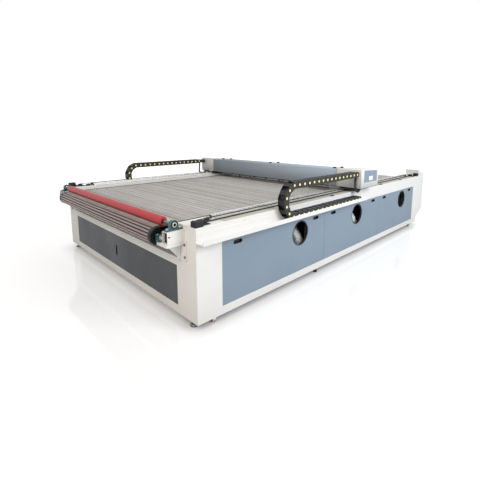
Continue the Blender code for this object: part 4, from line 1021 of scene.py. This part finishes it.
cups = bmesh.new()
panel_face = 1.497
panel_seams = (0.26, 1.79, 3.18, 4.50)
cup_from_seam = 0.18
cup_height = 0.602
for side, sign in SIDES:
    for near, far in zip(panel_seams, panel_seams[1:]):
        for cup_y in (along(near) + cup_from_seam, along(far) - cup_from_seam):
            add_cup(cups, on_side_panel, oval(0.10, 0.035), 0.020)
front_panel_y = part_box("front_panel")[0].y
upright = [(b, a) for a, b in oval(0.12, 0.028)]
add_cup(cups, lambda a, b, out: (a, front_panel_y - out, up(0.251) + b), upright, 0.020)
place_piece(cups, "finger_cups", black_nylon, "frame")

rims = bmesh.new()
port_places = (1.333, 2.549, 4.01)
for port_y in port_places:
    rim = [(1.4780, 0.1245), (1.4780, 0.1292), (1.4968, 0.1292), (1.4968, 0.1335)]
    rim += [(1.4985, 0.1335), (1.4992, 0.1320), (1.4992, 0.1258), (1.4985, 0.1245)]
    add_turned(rims, rim, "X", (0, along(port_y), up(0.487)), 48, ring=True)
place_piece(rims, "port_rims", belt_rubber, "frame")

# Painted shade: dark sheets behind the side bays and the front panel.
shade_sheets = bmesh.new()
for side, sign in SIDES:
    add_block(shade_sheets, (sign * 1.2300, along(0.20), up(0.06)), (sign * 1.2385, along(4.55), up(0.625)))
add_block(shade_sheets, (-1.2, along(0.140), up(0.05)), (1.2, along(0.146), up(0.440)))
place_piece(shade_sheets, "bay_painted_shade", dark_interior, "frame")
print("finger cups: 13, port rims: 3")

# %% [markdown]
# ## Foil ducts
# Exhaust air leaves through foil ducts behind the first two ports. Flexible duct is a spiral of wire in
# thin foil: it bulges between the wires and crumples. The tube swells and shrinks from point to point, and
# the foil's bump does the crumpling.

# %% Ducts
x, foot = 1.378, 0.0863
rise, reach = 0.4298, 0.42
for number, port_y in enumerate(port_places[:2], 1):
    y = port_y + 0.120
    route = [(x, y, foot), (x, y, foot + 0.28 * rise), (x - 0.01 * reach, y, foot + 0.60 * rise)]
    route += [
        (x - 0.24 * reach, y, foot + 0.88 * rise), (x - 0.62 * reach, y, foot + rise),
        (x - reach, y, foot + rise),
    ]
    points = curve_through([(a, along(b), up(c)) for a, b, c in route], 84)
    swell = [1.0 if i % 2 else 0.935 for i in range(len(points))]
    duct = bmesh.new()
    add_tube(duct, points, 0.060, 32, swell)
    # The foil's near-white base is painted light.
    place_piece(duct, f"foil_duct_{number}", crumpled_foil_painted_light, "frame", [f"exhaust_duct_{number}"])
print("duct ribs:", sum(1 for s in swell if s == 1.0))

# %% [markdown]
# ## The gantry's cover
# A folded sheet hides the beam. It is bent at the front edge and at the rear edge, and stands on the
# carriages. Six knurled knobs hold its lid. An open strip of faces with a Solidify modifier is how sheet is
# drawn; the bends get a few faces each, so they round over like a press brake leaves them.


# %% Front and top sheet
def rounded_path(corners, radius, steps=4):
    """A line through corners, with each inner corner replaced by a small arc."""
    points = [Vector(corners[0])]
    for before, corner, after in zip(corners, corners[1:], corners[2:]):
        before, corner, after = Vector(before), Vector(corner), Vector(after)
        start = corner + (before - corner).normalized() * radius
        stop = corner + (after - corner).normalized() * radius
        for i in range(steps + 1):
            t = i / steps
            points.append((1 - t) ** 2 * start + 2 * t * (1 - t) * corner + t**2 * stop)
    points.append(Vector(corners[-1]))
    return points


def add_sheet(drawing, path, start, stop):
    """An open strip of faces along X from a path of (y, z) points."""
    ends = [[drawing.verts.new((x, p[0], p[1])) for p in path] for x in (start, stop)]
    for i in range(len(path) - 1):
        drawing.faces.new((ends[0][i], ends[0][i + 1], ends[1][i + 1], ends[1][i]))


gantry_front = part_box("gantry_cover")[0].y
gantry_depth = 0.46
cover_top, cover_fall = 1.070, 0.024
cover_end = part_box("gantry_cover")[1].x
profile = [(0, 0.850), (0, cover_top), (gantry_depth, cover_top - cover_fall), (gantry_depth, 0.996)]
path = rounded_path([(gantry_front + y, up(z)) for y, z in profile], 0.006)
sheet = bmesh.new()
add_sheet(sheet, path, -cover_end, cover_end)
lid = place_piece(sheet, "gantry_sheet", cover_powder, "gantry", ["gantry_cover"])
fold = lid.modifiers.new("sheet_thickness", "SOLIDIFY")
fold.thickness = 0.004
fold.offset = -1.0

knobs = bmesh.new()
studs = bmesh.new()
for x in (-1.155, 0.0, 1.155):
    for depth in (0.145, 0.335):
        level = up(cover_top - cover_fall * depth / gantry_depth)
        at = Vector((x, gantry_front + depth, level))
        flutes = []
        for i in range(32):
            angle = i * math.pi / 16
            radius = 0.021 if i % 4 else 0.0192
            flutes.append((at.x + radius * math.cos(angle), at.y + radius * math.sin(angle)))
        add_extrusion(knobs, flutes, level + 0.0015, level + 0.0190, "Z")
        add_turned(studs, rod(0, 0.0016, 0.0085), "Z", at, 20)
        add_turned(studs, [(0.0188, 0), (0.0188, 0.0040), (0.0198, 0.0035), (0.0198, 0)], "Z", at, 12)
place_piece(knobs, "cover_knobs", black_nylon, "gantry", edge=0.0008)
place_piece(studs, "knob_studs", zinc_steel, "gantry")
print("cover", round(2 * cover_end, 3), "m wide")

# %% [markdown]
# ## End covers
# White covers close the two ends of the gantry, with generous rounded edges. Their outer face carries a
# blue-grey inset panel, and the right one has a small blank white plate. The box is bevelled first, then
# its bottom is taken away and Solidify gives the sheet its thickness.

# %% End covers
for side, sign in SIDES:
    low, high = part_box("end_cover_" + side)
    shell = bmesh.new()
    loop = [(low.y, up(0.850)), (high.y, up(0.850)), (high.y, up(1.058)), (low.y, up(1.082))]
    add_extrusion(shell, loop, low.x, high.x, "X")
    bmesh.ops.recalc_face_normals(shell, faces=shell.faces)
    soft = [e for e in shell.edges if max(v.co.z for v in e.verts) > up(0.86)]
    bmesh.ops.bevel(shell, geom=soft, offset=0.010, segments=4, profile=0.5, affect="EDGES")
    bottom = [f for f in shell.faces if max(v.co.z for v in f.verts) < up(0.851)]
    bmesh.ops.delete(shell, geom=bottom, context="FACES_ONLY")
    cover = place_piece(
        shell, "end_cover_shell_" + side, white_powder, "gantry", ["end_cover_" + side]
    )
    wall = cover.modifiers.new("sheet_thickness", "SOLIDIFY")
    wall.thickness = 0.003
    wall.offset = -1.0

    face = high.x if sign > 0 else low.x
    inset = bmesh.new()
    inset_start, inset_stop, lid_fall = 0.067, 0.415, 0.0522
    near, far = low.y + inset_start, low.y + inset_stop
    top_near, top_far = up(1.0785) - inset_start * lid_fall, up(1.0785) - inset_stop * lid_fall
    loop = [(near, up(0.917)), (far, up(0.917)), (far, top_far - 0.004), (near, top_near - 0.004)]
    add_extrusion(inset, loop, face - sign * 0.001, face + sign * 0.0014, "X")
    place_piece(inset, "inset_panel_" + side, blue_grey_powder, "gantry", edge=0.0006)
    screws = bmesh.new()
    for y, z in ((near + 0.016, 0.933), (far - 0.016, 0.933), (near + 0.016, 1.050), (far - 0.016, 1.034)):
        head = [(0, 0), (0, 0.0040), (sign * 0.0018, 0.0034), (sign * 0.0022, 0)]
        add_turned(screws, head, "X", (face + sign * 0.0014, y, up(z)), 12)
    place_piece(screws, "inset_screws_" + side, zinc_steel, "gantry")
    if sign > 0:
        plate = bmesh.new()
        y, z = low.y + 0.245, up(0.963)
        add_block(plate, (face + 0.0014, y - 0.050, z - 0.026), (face + 0.0026, y + 0.050, z + 0.026))
        place_piece(plate, "blank_plate", blank_plate, "gantry", edge=0.0005)
print("end cover", round(high.x - low.x, 3), "m wide")

# %% [markdown]
# ## Under the cover
# The cutting head hangs on a small rail on the beam. Its cables run along the beam's lower edge in clips,
# and a few of them end in red boots. Under the end covers sit the bearing blocks that grip the rails, and
# the motors that pull the belts.

# %% Cross rail, cables and clips
low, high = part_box("x_rail")
cross_rail = bmesh.new()
half_shape = [(0.0, 0.010), (-0.005, 0.010), (-0.007, 0.0075), (-0.0095, 0.0075)]
half_shape += [(-0.0112, 0.0098), (-0.0138, 0.0098), (-0.015, 0.0085)]
centre_z = (low.z + high.z) / 2
loop = [(high.y + a, centre_z + b) for a, b in half_shape]
loop += [(high.y + a, centre_z - b) for a, b in reversed(half_shape)]
add_extrusion(cross_rail, loop, low.x, high.x, "X")
place_piece(cross_rail, "cross_rail", ground_steel, "gantry", ["x_rail"])

cables = bmesh.new()
cable_line = Vector((0, gantry_front + 0.011, up(0.8425)))
beam_cables = ((0.000, 0.000, 0.0060), (0.009, -0.034, 0.0050), (0.006, 0.010, 0.0050))
for number, (back, lift, radius) in enumerate(beam_cables):
    points = []
    for i in range(61):
        x = -1.16 + 2.32 * i / 60
        wander = 0.0016 * math.sin(5.1 * x + number) + 0.0010 * math.sin(13.0 * x + 2 * number)
        points.append((x, cable_line.y + back, cable_line.z + lift + wander))
    add_tube(cables, points, radius, 10)
place_piece(cables, "beam_cables", cable_pvc, "gantry")
clips = bmesh.new()
boots = bmesh.new()
for x in (-1.05, -0.78, -0.50, -0.23, 0.03, 0.37, 0.66, 0.98):
    clip_low = (x - 0.016, gantry_front + 0.0042, up(0.829))
    add_block(clips, clip_low, (x + 0.016, gantry_front + 0.030, up(0.862)))
for x in (-0.33, 0.29):
    profile = [(-0.022, 0), (-0.022, 0.0065), (0.004, 0.0085), (0.018, 0.0085), (0.022, 0.0070), (0.022, 0)]
    add_turned(boots, profile, "X", (x, cable_line.y + 0.004, up(0.826)), 16)
place_piece(clips, "cable_clips", black_nylon, "gantry", edge=0.0008)
place_piece(boots, "cable_boots", red_pvc, "gantry")
print("cable clips:", 8)

# %% Carriage seals and screws, motors and looms
for side, sign in SIDES:
    rail_low, rail_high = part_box("gantry_rail_" + side)
    low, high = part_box("gantry_carriage_" + side)
    rail_x = sign * rail_from_middle
    seals = bmesh.new()
    for y in (low.y + 0.0105, high.y - 0.0165):
        for start, stop in ((-0.0265, -0.0108), (0.0108, 0.0265)):
            seal_low = (rail_x + start, y, rail_low.z + 0.004)
            add_block(seals, seal_low, (rail_x + stop, y + 0.006, high.z - 0.013))
    place_piece(seals, "carriage_seals_" + side, black_nylon, "gantry", edge=0.001)
    bolts = bmesh.new()
    for y in (low.y + 0.05, low.y + 0.13, high.y - 0.13, high.y - 0.05):
        for dx in (-0.017, 0.017):
            add_turned(bolts, rod(0, 0.0048, 0.0050), "Z", (rail_x + dx, y, high.z), 16)
    place_piece(bolts, "carriage_screws_" + side, zinc_steel, "gantry")
    motor = bmesh.new()
    motor_y = low.y + 0.10
    for near, far, first, last, bottom, top in (
        (1.436, 1.496, -0.030, 0.030, 0.818, 0.878),
        (1.436, 1.496, 0.10, 0.19, 0.826, 0.876),
        (1.515, 1.575, 0.02, 0.21, 0.838, 0.905),
    ):
        add_block(motor, (sign * near, motor_y + first, up(bottom)), (sign * far, motor_y + last, up(top)))
    add_turned(motor, rod(0, 0.10, 0.026), "Y", (sign * 1.466, motor_y + 0.19, up(0.850)), 32)
    place_piece(motor, "belt_motor_" + side, black_powder, "gantry", edge=0.002)
    loom = bmesh.new()
    for number in range(3):
        points = []
        for i in range(25):
            t = i / 24
            x = sign * (1.300 + 0.285 * t)
            y = gantry_front + 0.012 + 0.008 * number + 0.003 * math.sin(9 * t + number)
            points.append((x, y, up(0.816) + 0.024 * t + 0.005 * number))
        add_tube(loom, points, 0.0080, 8)
    place_piece(loom, "carriage_loom_" + side, cable_pvc, "gantry")
print("carriage length", round(high.y - low.y, 3))

# %% [markdown]
# ## The cutting head
# A lens tube ends in a brass nozzle just above the slats. It can slide up and down on its carriage to
# focus. Its rings are one turned profile, and a block clamps it to the slide.

# %% Head carriage and laser head
low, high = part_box("head_carriage")
carriage = bmesh.new()
add_block(carriage, (low.x, low.y, low.z), (high.x, low.y + 0.0138, high.z))
rail_low, rail_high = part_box("x_rail")
for x in (low.x + 0.012, high.x - 0.066):
    for bottom, top in ((low.z + 0.030, rail_low.z - 0.0006), (rail_high.z + 0.0006, high.z - 0.030)):
        add_block(carriage, (x, low.y + 0.0139, bottom), (x + 0.054, high.y, top))
place_piece(carriage, "head_slide", black_powder, "head_carriage", ["head_carriage"], 0.001)
slide_screws = bmesh.new()
for dx in (0.014, 0.146):
    for dz in (0.014, 0.106):
        add_turned(slide_screws, rod(0, -0.0046, 0.0048), "Y", (low.x + dx, low.y, low.z + dz), 16)
place_piece(slide_screws, "head_slide_screws", zinc_steel, "head_carriage")

low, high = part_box("laser_head")
head_x, head_y = (low.x + high.x) / 2, (low.y + high.y) / 2
tube = bmesh.new()
body_low = low.z + 0.050
profile = [
    (body_low, 0), (body_low, 0.0195), (body_low + 0.010, 0.0205), (body_low + 0.034, 0.0205),
    (body_low + 0.036, 0.0175),
]
profile += [
    (body_low + 0.052, 0.0175), (body_low + 0.054, 0.0205), (high.z - 0.012, 0.0205),
    (high.z - 0.002, 0.0180), (high.z, 0),
]
add_turned(tube, profile, "Z", (head_x, head_y, 0), 40)
clamp_low = (head_x - 0.030, head_y - 0.002, body_low + 0.058)
add_block(tube, clamp_low, (head_x + 0.030, high.y, body_low + 0.096))
place_piece(tube, "lens_tube", zinc_steel, "laser_head", ["laser_head"])
nozzle = bmesh.new()
profile = [
    (low.z, 0.0018), (low.z, 0.0040), (low.z + 0.022, 0.0135), (low.z + 0.044, 0.0140),
    (low.z + 0.050, 0.0120), (low.z + 0.050, 0.0018),
]
add_turned(nozzle, profile, "Z", (head_x, head_y, 0), 32, ring=True)
place_piece(nozzle, "nozzle_tip", brass, "laser_head")
print("head at x", round(head_x, 3))

# %% [markdown]
# ## Energy chains
# A chain of hollow nylon links guards the cables between the table and the moving gantry. Side plates with
# cut corners overlap at each joint, a yellow plug closes each pivot, and bars across the inside and outside
# leave open windows. The lower run lies in its tray, the bend travels at half the gantry's speed and the
# upper run follows the gantry. The bend's pieces ride on the bend; the straight runs are drawn in place and
# ride on no moving part.

# %% Links from joint to joint
link_pitch = 0.0825
link_half_height = 0.035
plate_near_joint = ((0.016, -0.012), (0.009, -0.028), (-0.006, -0.035))


def add_links(drawing, joints, near, far, sign, first=0):
    """Links between joints given as (y, z) points. First sets which side plates lie outside."""
    for number, (start, stop) in enumerate(zip(joints, joints[1:])):
        start, stop = Vector(start), Vector(stop)
        heading = (stop - start).normalized()
        up_way = Vector((-heading.y, heading.x))
        length = (stop - start).length
        lower = [(-s, t) for s, t in plate_near_joint]
        lower += [(length + s, t) for s, t in reversed(plate_near_joint)]
        upper = [(s, -t) for s, t in reversed(lower)]
        loop = [start + heading * s + up_way * t for s, t in lower + upper]
        shift = 0.0 if (number + first) % 2 else 0.0032
        add_extrusion(drawing, loop, sign * (far - shift), sign * (far - shift - 0.0030), "X")
        add_extrusion(drawing, loop, sign * (near + shift), sign * (near + shift + 0.0030), "X")
        for edge in (-1, 1):
            bar = ((0.20, 0.0340), (0.80, 0.0340), (0.80, 0.0290), (0.20, 0.0290))
            loop = [start + heading * length * s + up_way * edge * t for s, t in bar]
            add_extrusion(drawing, loop, sign * (near + 0.004), sign * (far - 0.004), "X")


def add_pivots(rims, plugs, joints, near, far, sign):
    """A raised rim of darker nylon, painted shade for the recess round each plug, and a round plug on both
    faces of each joint.
    """
    for y, z in joints:
        for face, way in ((far, sign), (near, -sign)):
            rim = [(0, 0), (0, 0.0172), (way * 0.0006, 0.0168), (way * 0.0006, 0)]
            add_turned(rims, rim, "X", (sign * face, y, z), 24)
            dot = [(0, 0), (0, 0.0130), (way * 0.0016, 0.0126), (way * 0.0022, 0.0105), (way * 0.0022, 0)]
            add_turned(plugs, dot, "X", (sign * face, y, z), 24)


def add_cables(drawing, joints, near, sign, count):
    """Three cables side by side inside the links, on a smooth line through the joints."""
    for lane, radius in ((0.018, 0.0085), (0.042, 0.0105), (0.066, 0.0090)):
        route = [(sign * (near + lane), y, z) for y, z in joints]
        add_tube(drawing, curve_through(route, count), radius, 8)


print("link", 1000 * link_pitch, "mm from joint to joint")

# %% Bends and straight runs
clamp_reach = {}
for side, sign in SIDES:
    bend_low, bend_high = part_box("chain_bend_" + side)
    near, far = sorted((abs(bend_low.x) - 0.0002, abs(bend_high.x) - 0.0002))
    near += 0.0004
    low_z, high_z = bend_low.z + link_half_height, bend_high.z - link_half_height
    bend_y, middle_z = bend_high.y + 0.0003, (low_z + high_z) / 2
    seam_y = bend_y + link_pitch / 2
    reach = link_pitch / 2 / math.sin(math.radians(15))
    turn = [math.radians(105 + 30 * i) for i in range(6)]
    joints = [(bend_y + reach * math.cos(a), middle_z + reach * math.sin(a)) for a in turn]
    joints = [(seam_y, high_z)] + joints + [(seam_y, low_z)]
    links, rims, plugs, wires = bmesh.new(), bmesh.new(), bmesh.new(), bmesh.new()
    add_links(links, joints, near, far, sign)
    add_pivots(rims, plugs, joints, near, far, sign)
    add_cables(wires, joints, near, sign, 28)
    body = "chain_bend_" + side
    place_piece(links, "bend_links_" + side, chain_nylon, body, [body], 0.0006)
    # The darker rims are painted shade for the recess round each plug.
    place_piece(rims, "bend_rims_" + side, black_nylon, body)
    place_piece(plugs, "bend_plugs_" + side, yellow_nylon, body)
    place_piece(wires, "bend_wires_" + side, cable_pvc, body)
    for word, height in (("lower", low_z), ("upper", high_z)):
        bracket = 0.026 if word == "lower" else 0.030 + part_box("chain_bend_right")[1].y - bend_high.y
        end_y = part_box(f"chain_{word}_{side}")[1].y - bracket
        count = int((end_y - bend_y) / link_pitch - 0.5)
        joints = [(seam_y + link_pitch * i, height) for i in range(count + 1)]
        last_y = joints[-1][0]
        mirrored = 2 * seam_y - last_y
        start, stop = (last_y, mirrored) if word == "lower" else (mirrored, last_y)
        links, rims, plugs, wires = bmesh.new(), bmesh.new(), bmesh.new(), bmesh.new()
        add_links(links, joints, near, far, sign, 1)
        add_pivots(rims, plugs, joints[1:], near, far, sign)
        add_cables(wires, joints, near, sign, count)
        node = f"chain_{word}_{side}"
        pieces = [place_piece(links, f"{word}_links_{side}", chain_nylon, None, [node])]
        # The darker rims are painted shade for the recess round each plug.
        pieces.append(place_piece(rims, f"{word}_rims_{side}", black_nylon, None))
        pieces.append(place_piece(plugs, f"{word}_plugs_{side}", yellow_nylon, None))
        pieces.append(place_piece(wires, f"{word}_wires_{side}", cable_pvc, None))
        for piece in pieces:
            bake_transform(piece)
        clamp_reach[word, side] = last_y

# %% [markdown]
# ## Chain ends and hoses
# Nylon end links hold both ends of each chain, screwed to a steel plate. At the gantry end the cables leave
# in a ribbed conduit that drops in front of the end cover and goes up under it. The ribs are made like the
# duct's, by swelling every other point.

# %% Chain clamps and conduits
# Both chains are mirrored, so the last one's near, far, low_z and high_z from the cell above hold for both.
for side, sign in SIDES:
    moving_y, fixed_y = clamp_reach["upper", side], clamp_reach["lower", side]
    for height, start, stop, body in (
        (high_z, moving_y, gantry_front - 0.0003, "gantry"),
        (low_z, fixed_y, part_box("chain_lower_" + side)[1].y, "frame"),
    ):
        clamp = bmesh.new()
        for face in (near + 0.0032, far - 0.0062):
            corner = (sign * face, start - 0.016, height - 0.026)
            add_block(clamp, corner, (sign * (face + 0.0030), stop, height + 0.026))
        inner, outer = sign * (near + 0.0062), sign * (far - 0.0062)
        for edge in (-0.0255, 0.0205):
            add_block(clamp, (inner, start + 0.002, height + edge), (outer, stop, height + edge + 0.0050))
        word = "moving" if body == "gantry" else "fixed"
        place_piece(clamp, f"{word}_clamp_{side}", black_nylon, body, edge=0.0008)
        plate = bmesh.new()
        inner, outer = sign * (near + 0.010), sign * (far - 0.010)
        add_block(plate, (inner, stop - 0.004, height - 0.0205), (outer, stop, height + 0.0205))
        place_piece(
            plate, f"{word}_clamp_plate_{side}", blackened_steel, body, edge=0.0005
        )
    x, start = 1.5475, 2.385 - 0.012
    first = start - (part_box("chain_bend_right")[1].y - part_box("chain_bend_" + side)[1].y)
    hang = high_z - 0.0233 - frame_foot
    route = [(x, first, hang), (x, first, hang - 0.02), (x, first - 0.004, hang - 0.06)]
    route += [(x + 0.004, first - 0.008, 0.870), (x + 0.010, first + 0.004, 0.822)]
    route += [(x + 0.016, (start + first) / 2 + 0.040, 0.806)]
    route += [(x + 0.018, start + 0.078, 0.834), (x + 0.016, start + 0.092, 0.900)]
    points = curve_through([(sign * a, along(b), up(c)) for a, b, c in route], 110)
    conduit = bmesh.new()
    add_tube(conduit, points, 0.0135, 14, [1.0 if i % 2 else 0.86 for i in range(len(points))])
    place_piece(
        conduit, "conduit_" + side, black_nylon, "gantry", ["chain_hose_" + side]
    )
print("conduit points:", len(points))

# %% [markdown]
# ## Small things on the beams
# Black clips sit along the top edge of each side beam, and two black strips on the left one: a cable cover,
# and a thin strip after it that is painted shade for the gap by the tray. A few screws show on its face, and
# the housing behind the right rear corner is closed with screws. They are small, but a machine without them
# looks like a drawing.

# %% Clips and screws
clips = bmesh.new()
for side, sign in SIDES:
    for y in (1.95, 2.55, 3.25, 3.95):
        clip_low = (sign * 1.468, along(y - 0.030), up(0.8003))
        add_block(clips, clip_low, (sign * 1.4985, along(y + 0.030), up(0.8075)))
# The second, thin black strip is painted shade along the gap by the tray.
for near, far, wide, top in ((0.29, 0.86, 0.020, 0.817), (0.86, 2.25, 0.008, 0.809)):
    add_block(clips, (-1.4985, along(near), up(0.8003)), (-1.4985 + wide, along(far), up(top)))
place_piece(clips, "beam_clips", black_nylon, "frame", edge=0.001)
screws = bmesh.new()
for side, sign in SIDES:
    for y, z in ((0.16, 0.755), (0.52, 0.775), (4.38, 0.70), (4.60, 0.74)):
        head = [(0, 0), (0, 0.0050), (sign * 0.0020, 0.0042), (sign * 0.0026, 0)]
        add_turned(screws, head, "X", (sign * half_table, along(y), up(z)), 14)
tower_low, tower_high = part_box("rear_tower")
for y in (tower_low.y + 0.02, tower_high.y - 0.02):
    for z in (0.30, 0.52, 0.74):
        head = [(0, 0), (0, 0.0045), (0.0022, 0.0038), (0.0026, 0)]
        add_turned(screws, head, "X", (tower_high.x, y, up(z)), 14)
place_piece(screws, "frame_screws", zinc_steel, "frame")
print("clips: 8, edge strips: 2")

# %% [markdown]
# ## Studio
# The machine stands on a pale, slightly glossy floor in front of white. The floor is near white by its own
# colour. A part of its light comes from a weak glow that only the camera and mirrors see, so the floor
# turns white without more light on the machine. Ambient Occlusion takes the glow away close to the feet and
# under the table, so the soft contact shadow stays.

# %% Floor, world and lamps
floor_mesh = bpy.data.meshes.new("studio_floor")
drawing = bmesh.new()
bmesh.ops.create_grid(drawing, x_segments=1, y_segments=1, size=30)
drawing.to_mesh(floor_mesh)
drawing.free()
floor = bpy.data.objects.new("studio_floor", floor_mesh)
floor.location.z = -0.0005
bpy.context.scene.collection.objects.link(floor)
floor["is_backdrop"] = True
floor_paint, shader, place = start_material("studio_floor_gloss", "#BDBDBD", 0.07)
seen = add_node(floor_paint, "ShaderNodeLightPath")
either = {0: seen.outputs["Is Camera Ray"], 1: seen.outputs["Is Glossy Ray"]}
shown = add_node(floor_paint, "ShaderNodeMath", either, operation="MAXIMUM")
open_sky = add_node(floor_paint, "ShaderNodeAmbientOcclusion", {"Distance": 0.24}, samples=8)
parts = {0: shown.outputs[0], 1: open_sky.outputs["AO"]}
lit = add_node(floor_paint, "ShaderNodeMath", parts, operation="MULTIPLY")
glow = add_node(floor_paint, "ShaderNodeMath", {0: lit.outputs[0], 1: 0.50}, operation="MULTIPLY")
shader.inputs["Emission Color"].default_value = (1, 1, 1, 1)
plug(floor_paint, glow.outputs[0], shader.inputs["Emission Strength"])
floor_mesh.materials.append(floor_paint)

world = bpy.data.worlds.new("white_studio")
bpy.context.scene.world = world
world.use_nodes = True
background = world.node_tree.nodes["Background"]
background.inputs["Color"].default_value = (1, 1, 1, 1)
seen = add_node(world, "ShaderNodeLightPath")
either = {0: seen.outputs["Is Camera Ray"], 1: seen.outputs["Is Glossy Ray"]}
shown = add_node(world, "ShaderNodeMath", either, operation="MAXIMUM")
either = {0: shown.outputs[0], 1: seen.outputs["Is Transmission Ray"]}
shown = add_node(world, "ShaderNodeMath", either, operation="MAXIMUM")
level = {"Value": shown.outputs[0], "To Min": 0.56, "To Max": 1.0}
strength = add_node(world, "ShaderNodeMapRange", level)
world.node_tree.links.new(strength.outputs["Result"], background.inputs["Strength"])


def add_softbox(name, place, aim, size, power, tint):
    """A large square lamp that points at a spot."""
    lamp = bpy.data.lights.new(name, "AREA")
    lamp.shape = "SQUARE"
    lamp.size = size
    lamp.energy = power
    lamp.color = paint_hex(tint)[:3]
    made = bpy.data.objects.new(name, lamp)
    made.location = place
    made.rotation_euler = (Vector(aim) - Vector(place)).to_track_quat("-Z", "Y").to_euler()
    bpy.context.scene.collection.objects.link(made)


add_softbox("key_softbox", (6.8, 0.3, 3.9), (0.8, -0.2, 0.5), 3.2, 310, "#F2F7FF")
add_softbox("front_softbox", (3.0, -6.6, 4.8), (0.6, -2, 0.6), 2.6, 160, "#FFF1E0")
print("lamps: 2")

# %% [markdown]
# ## Sizes
# The dressed machine should stay as big as its solids. The last line prints how much larger its box is than
# theirs, in millimetres.

# %% Sizes and finish
shown_low, shown_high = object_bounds()
grown = [round(1000 * (b - a), 1) for a, b in zip(solid_high - solid_low, shown_high - shown_low)]
print("shown box is larger by", grown, "mm")
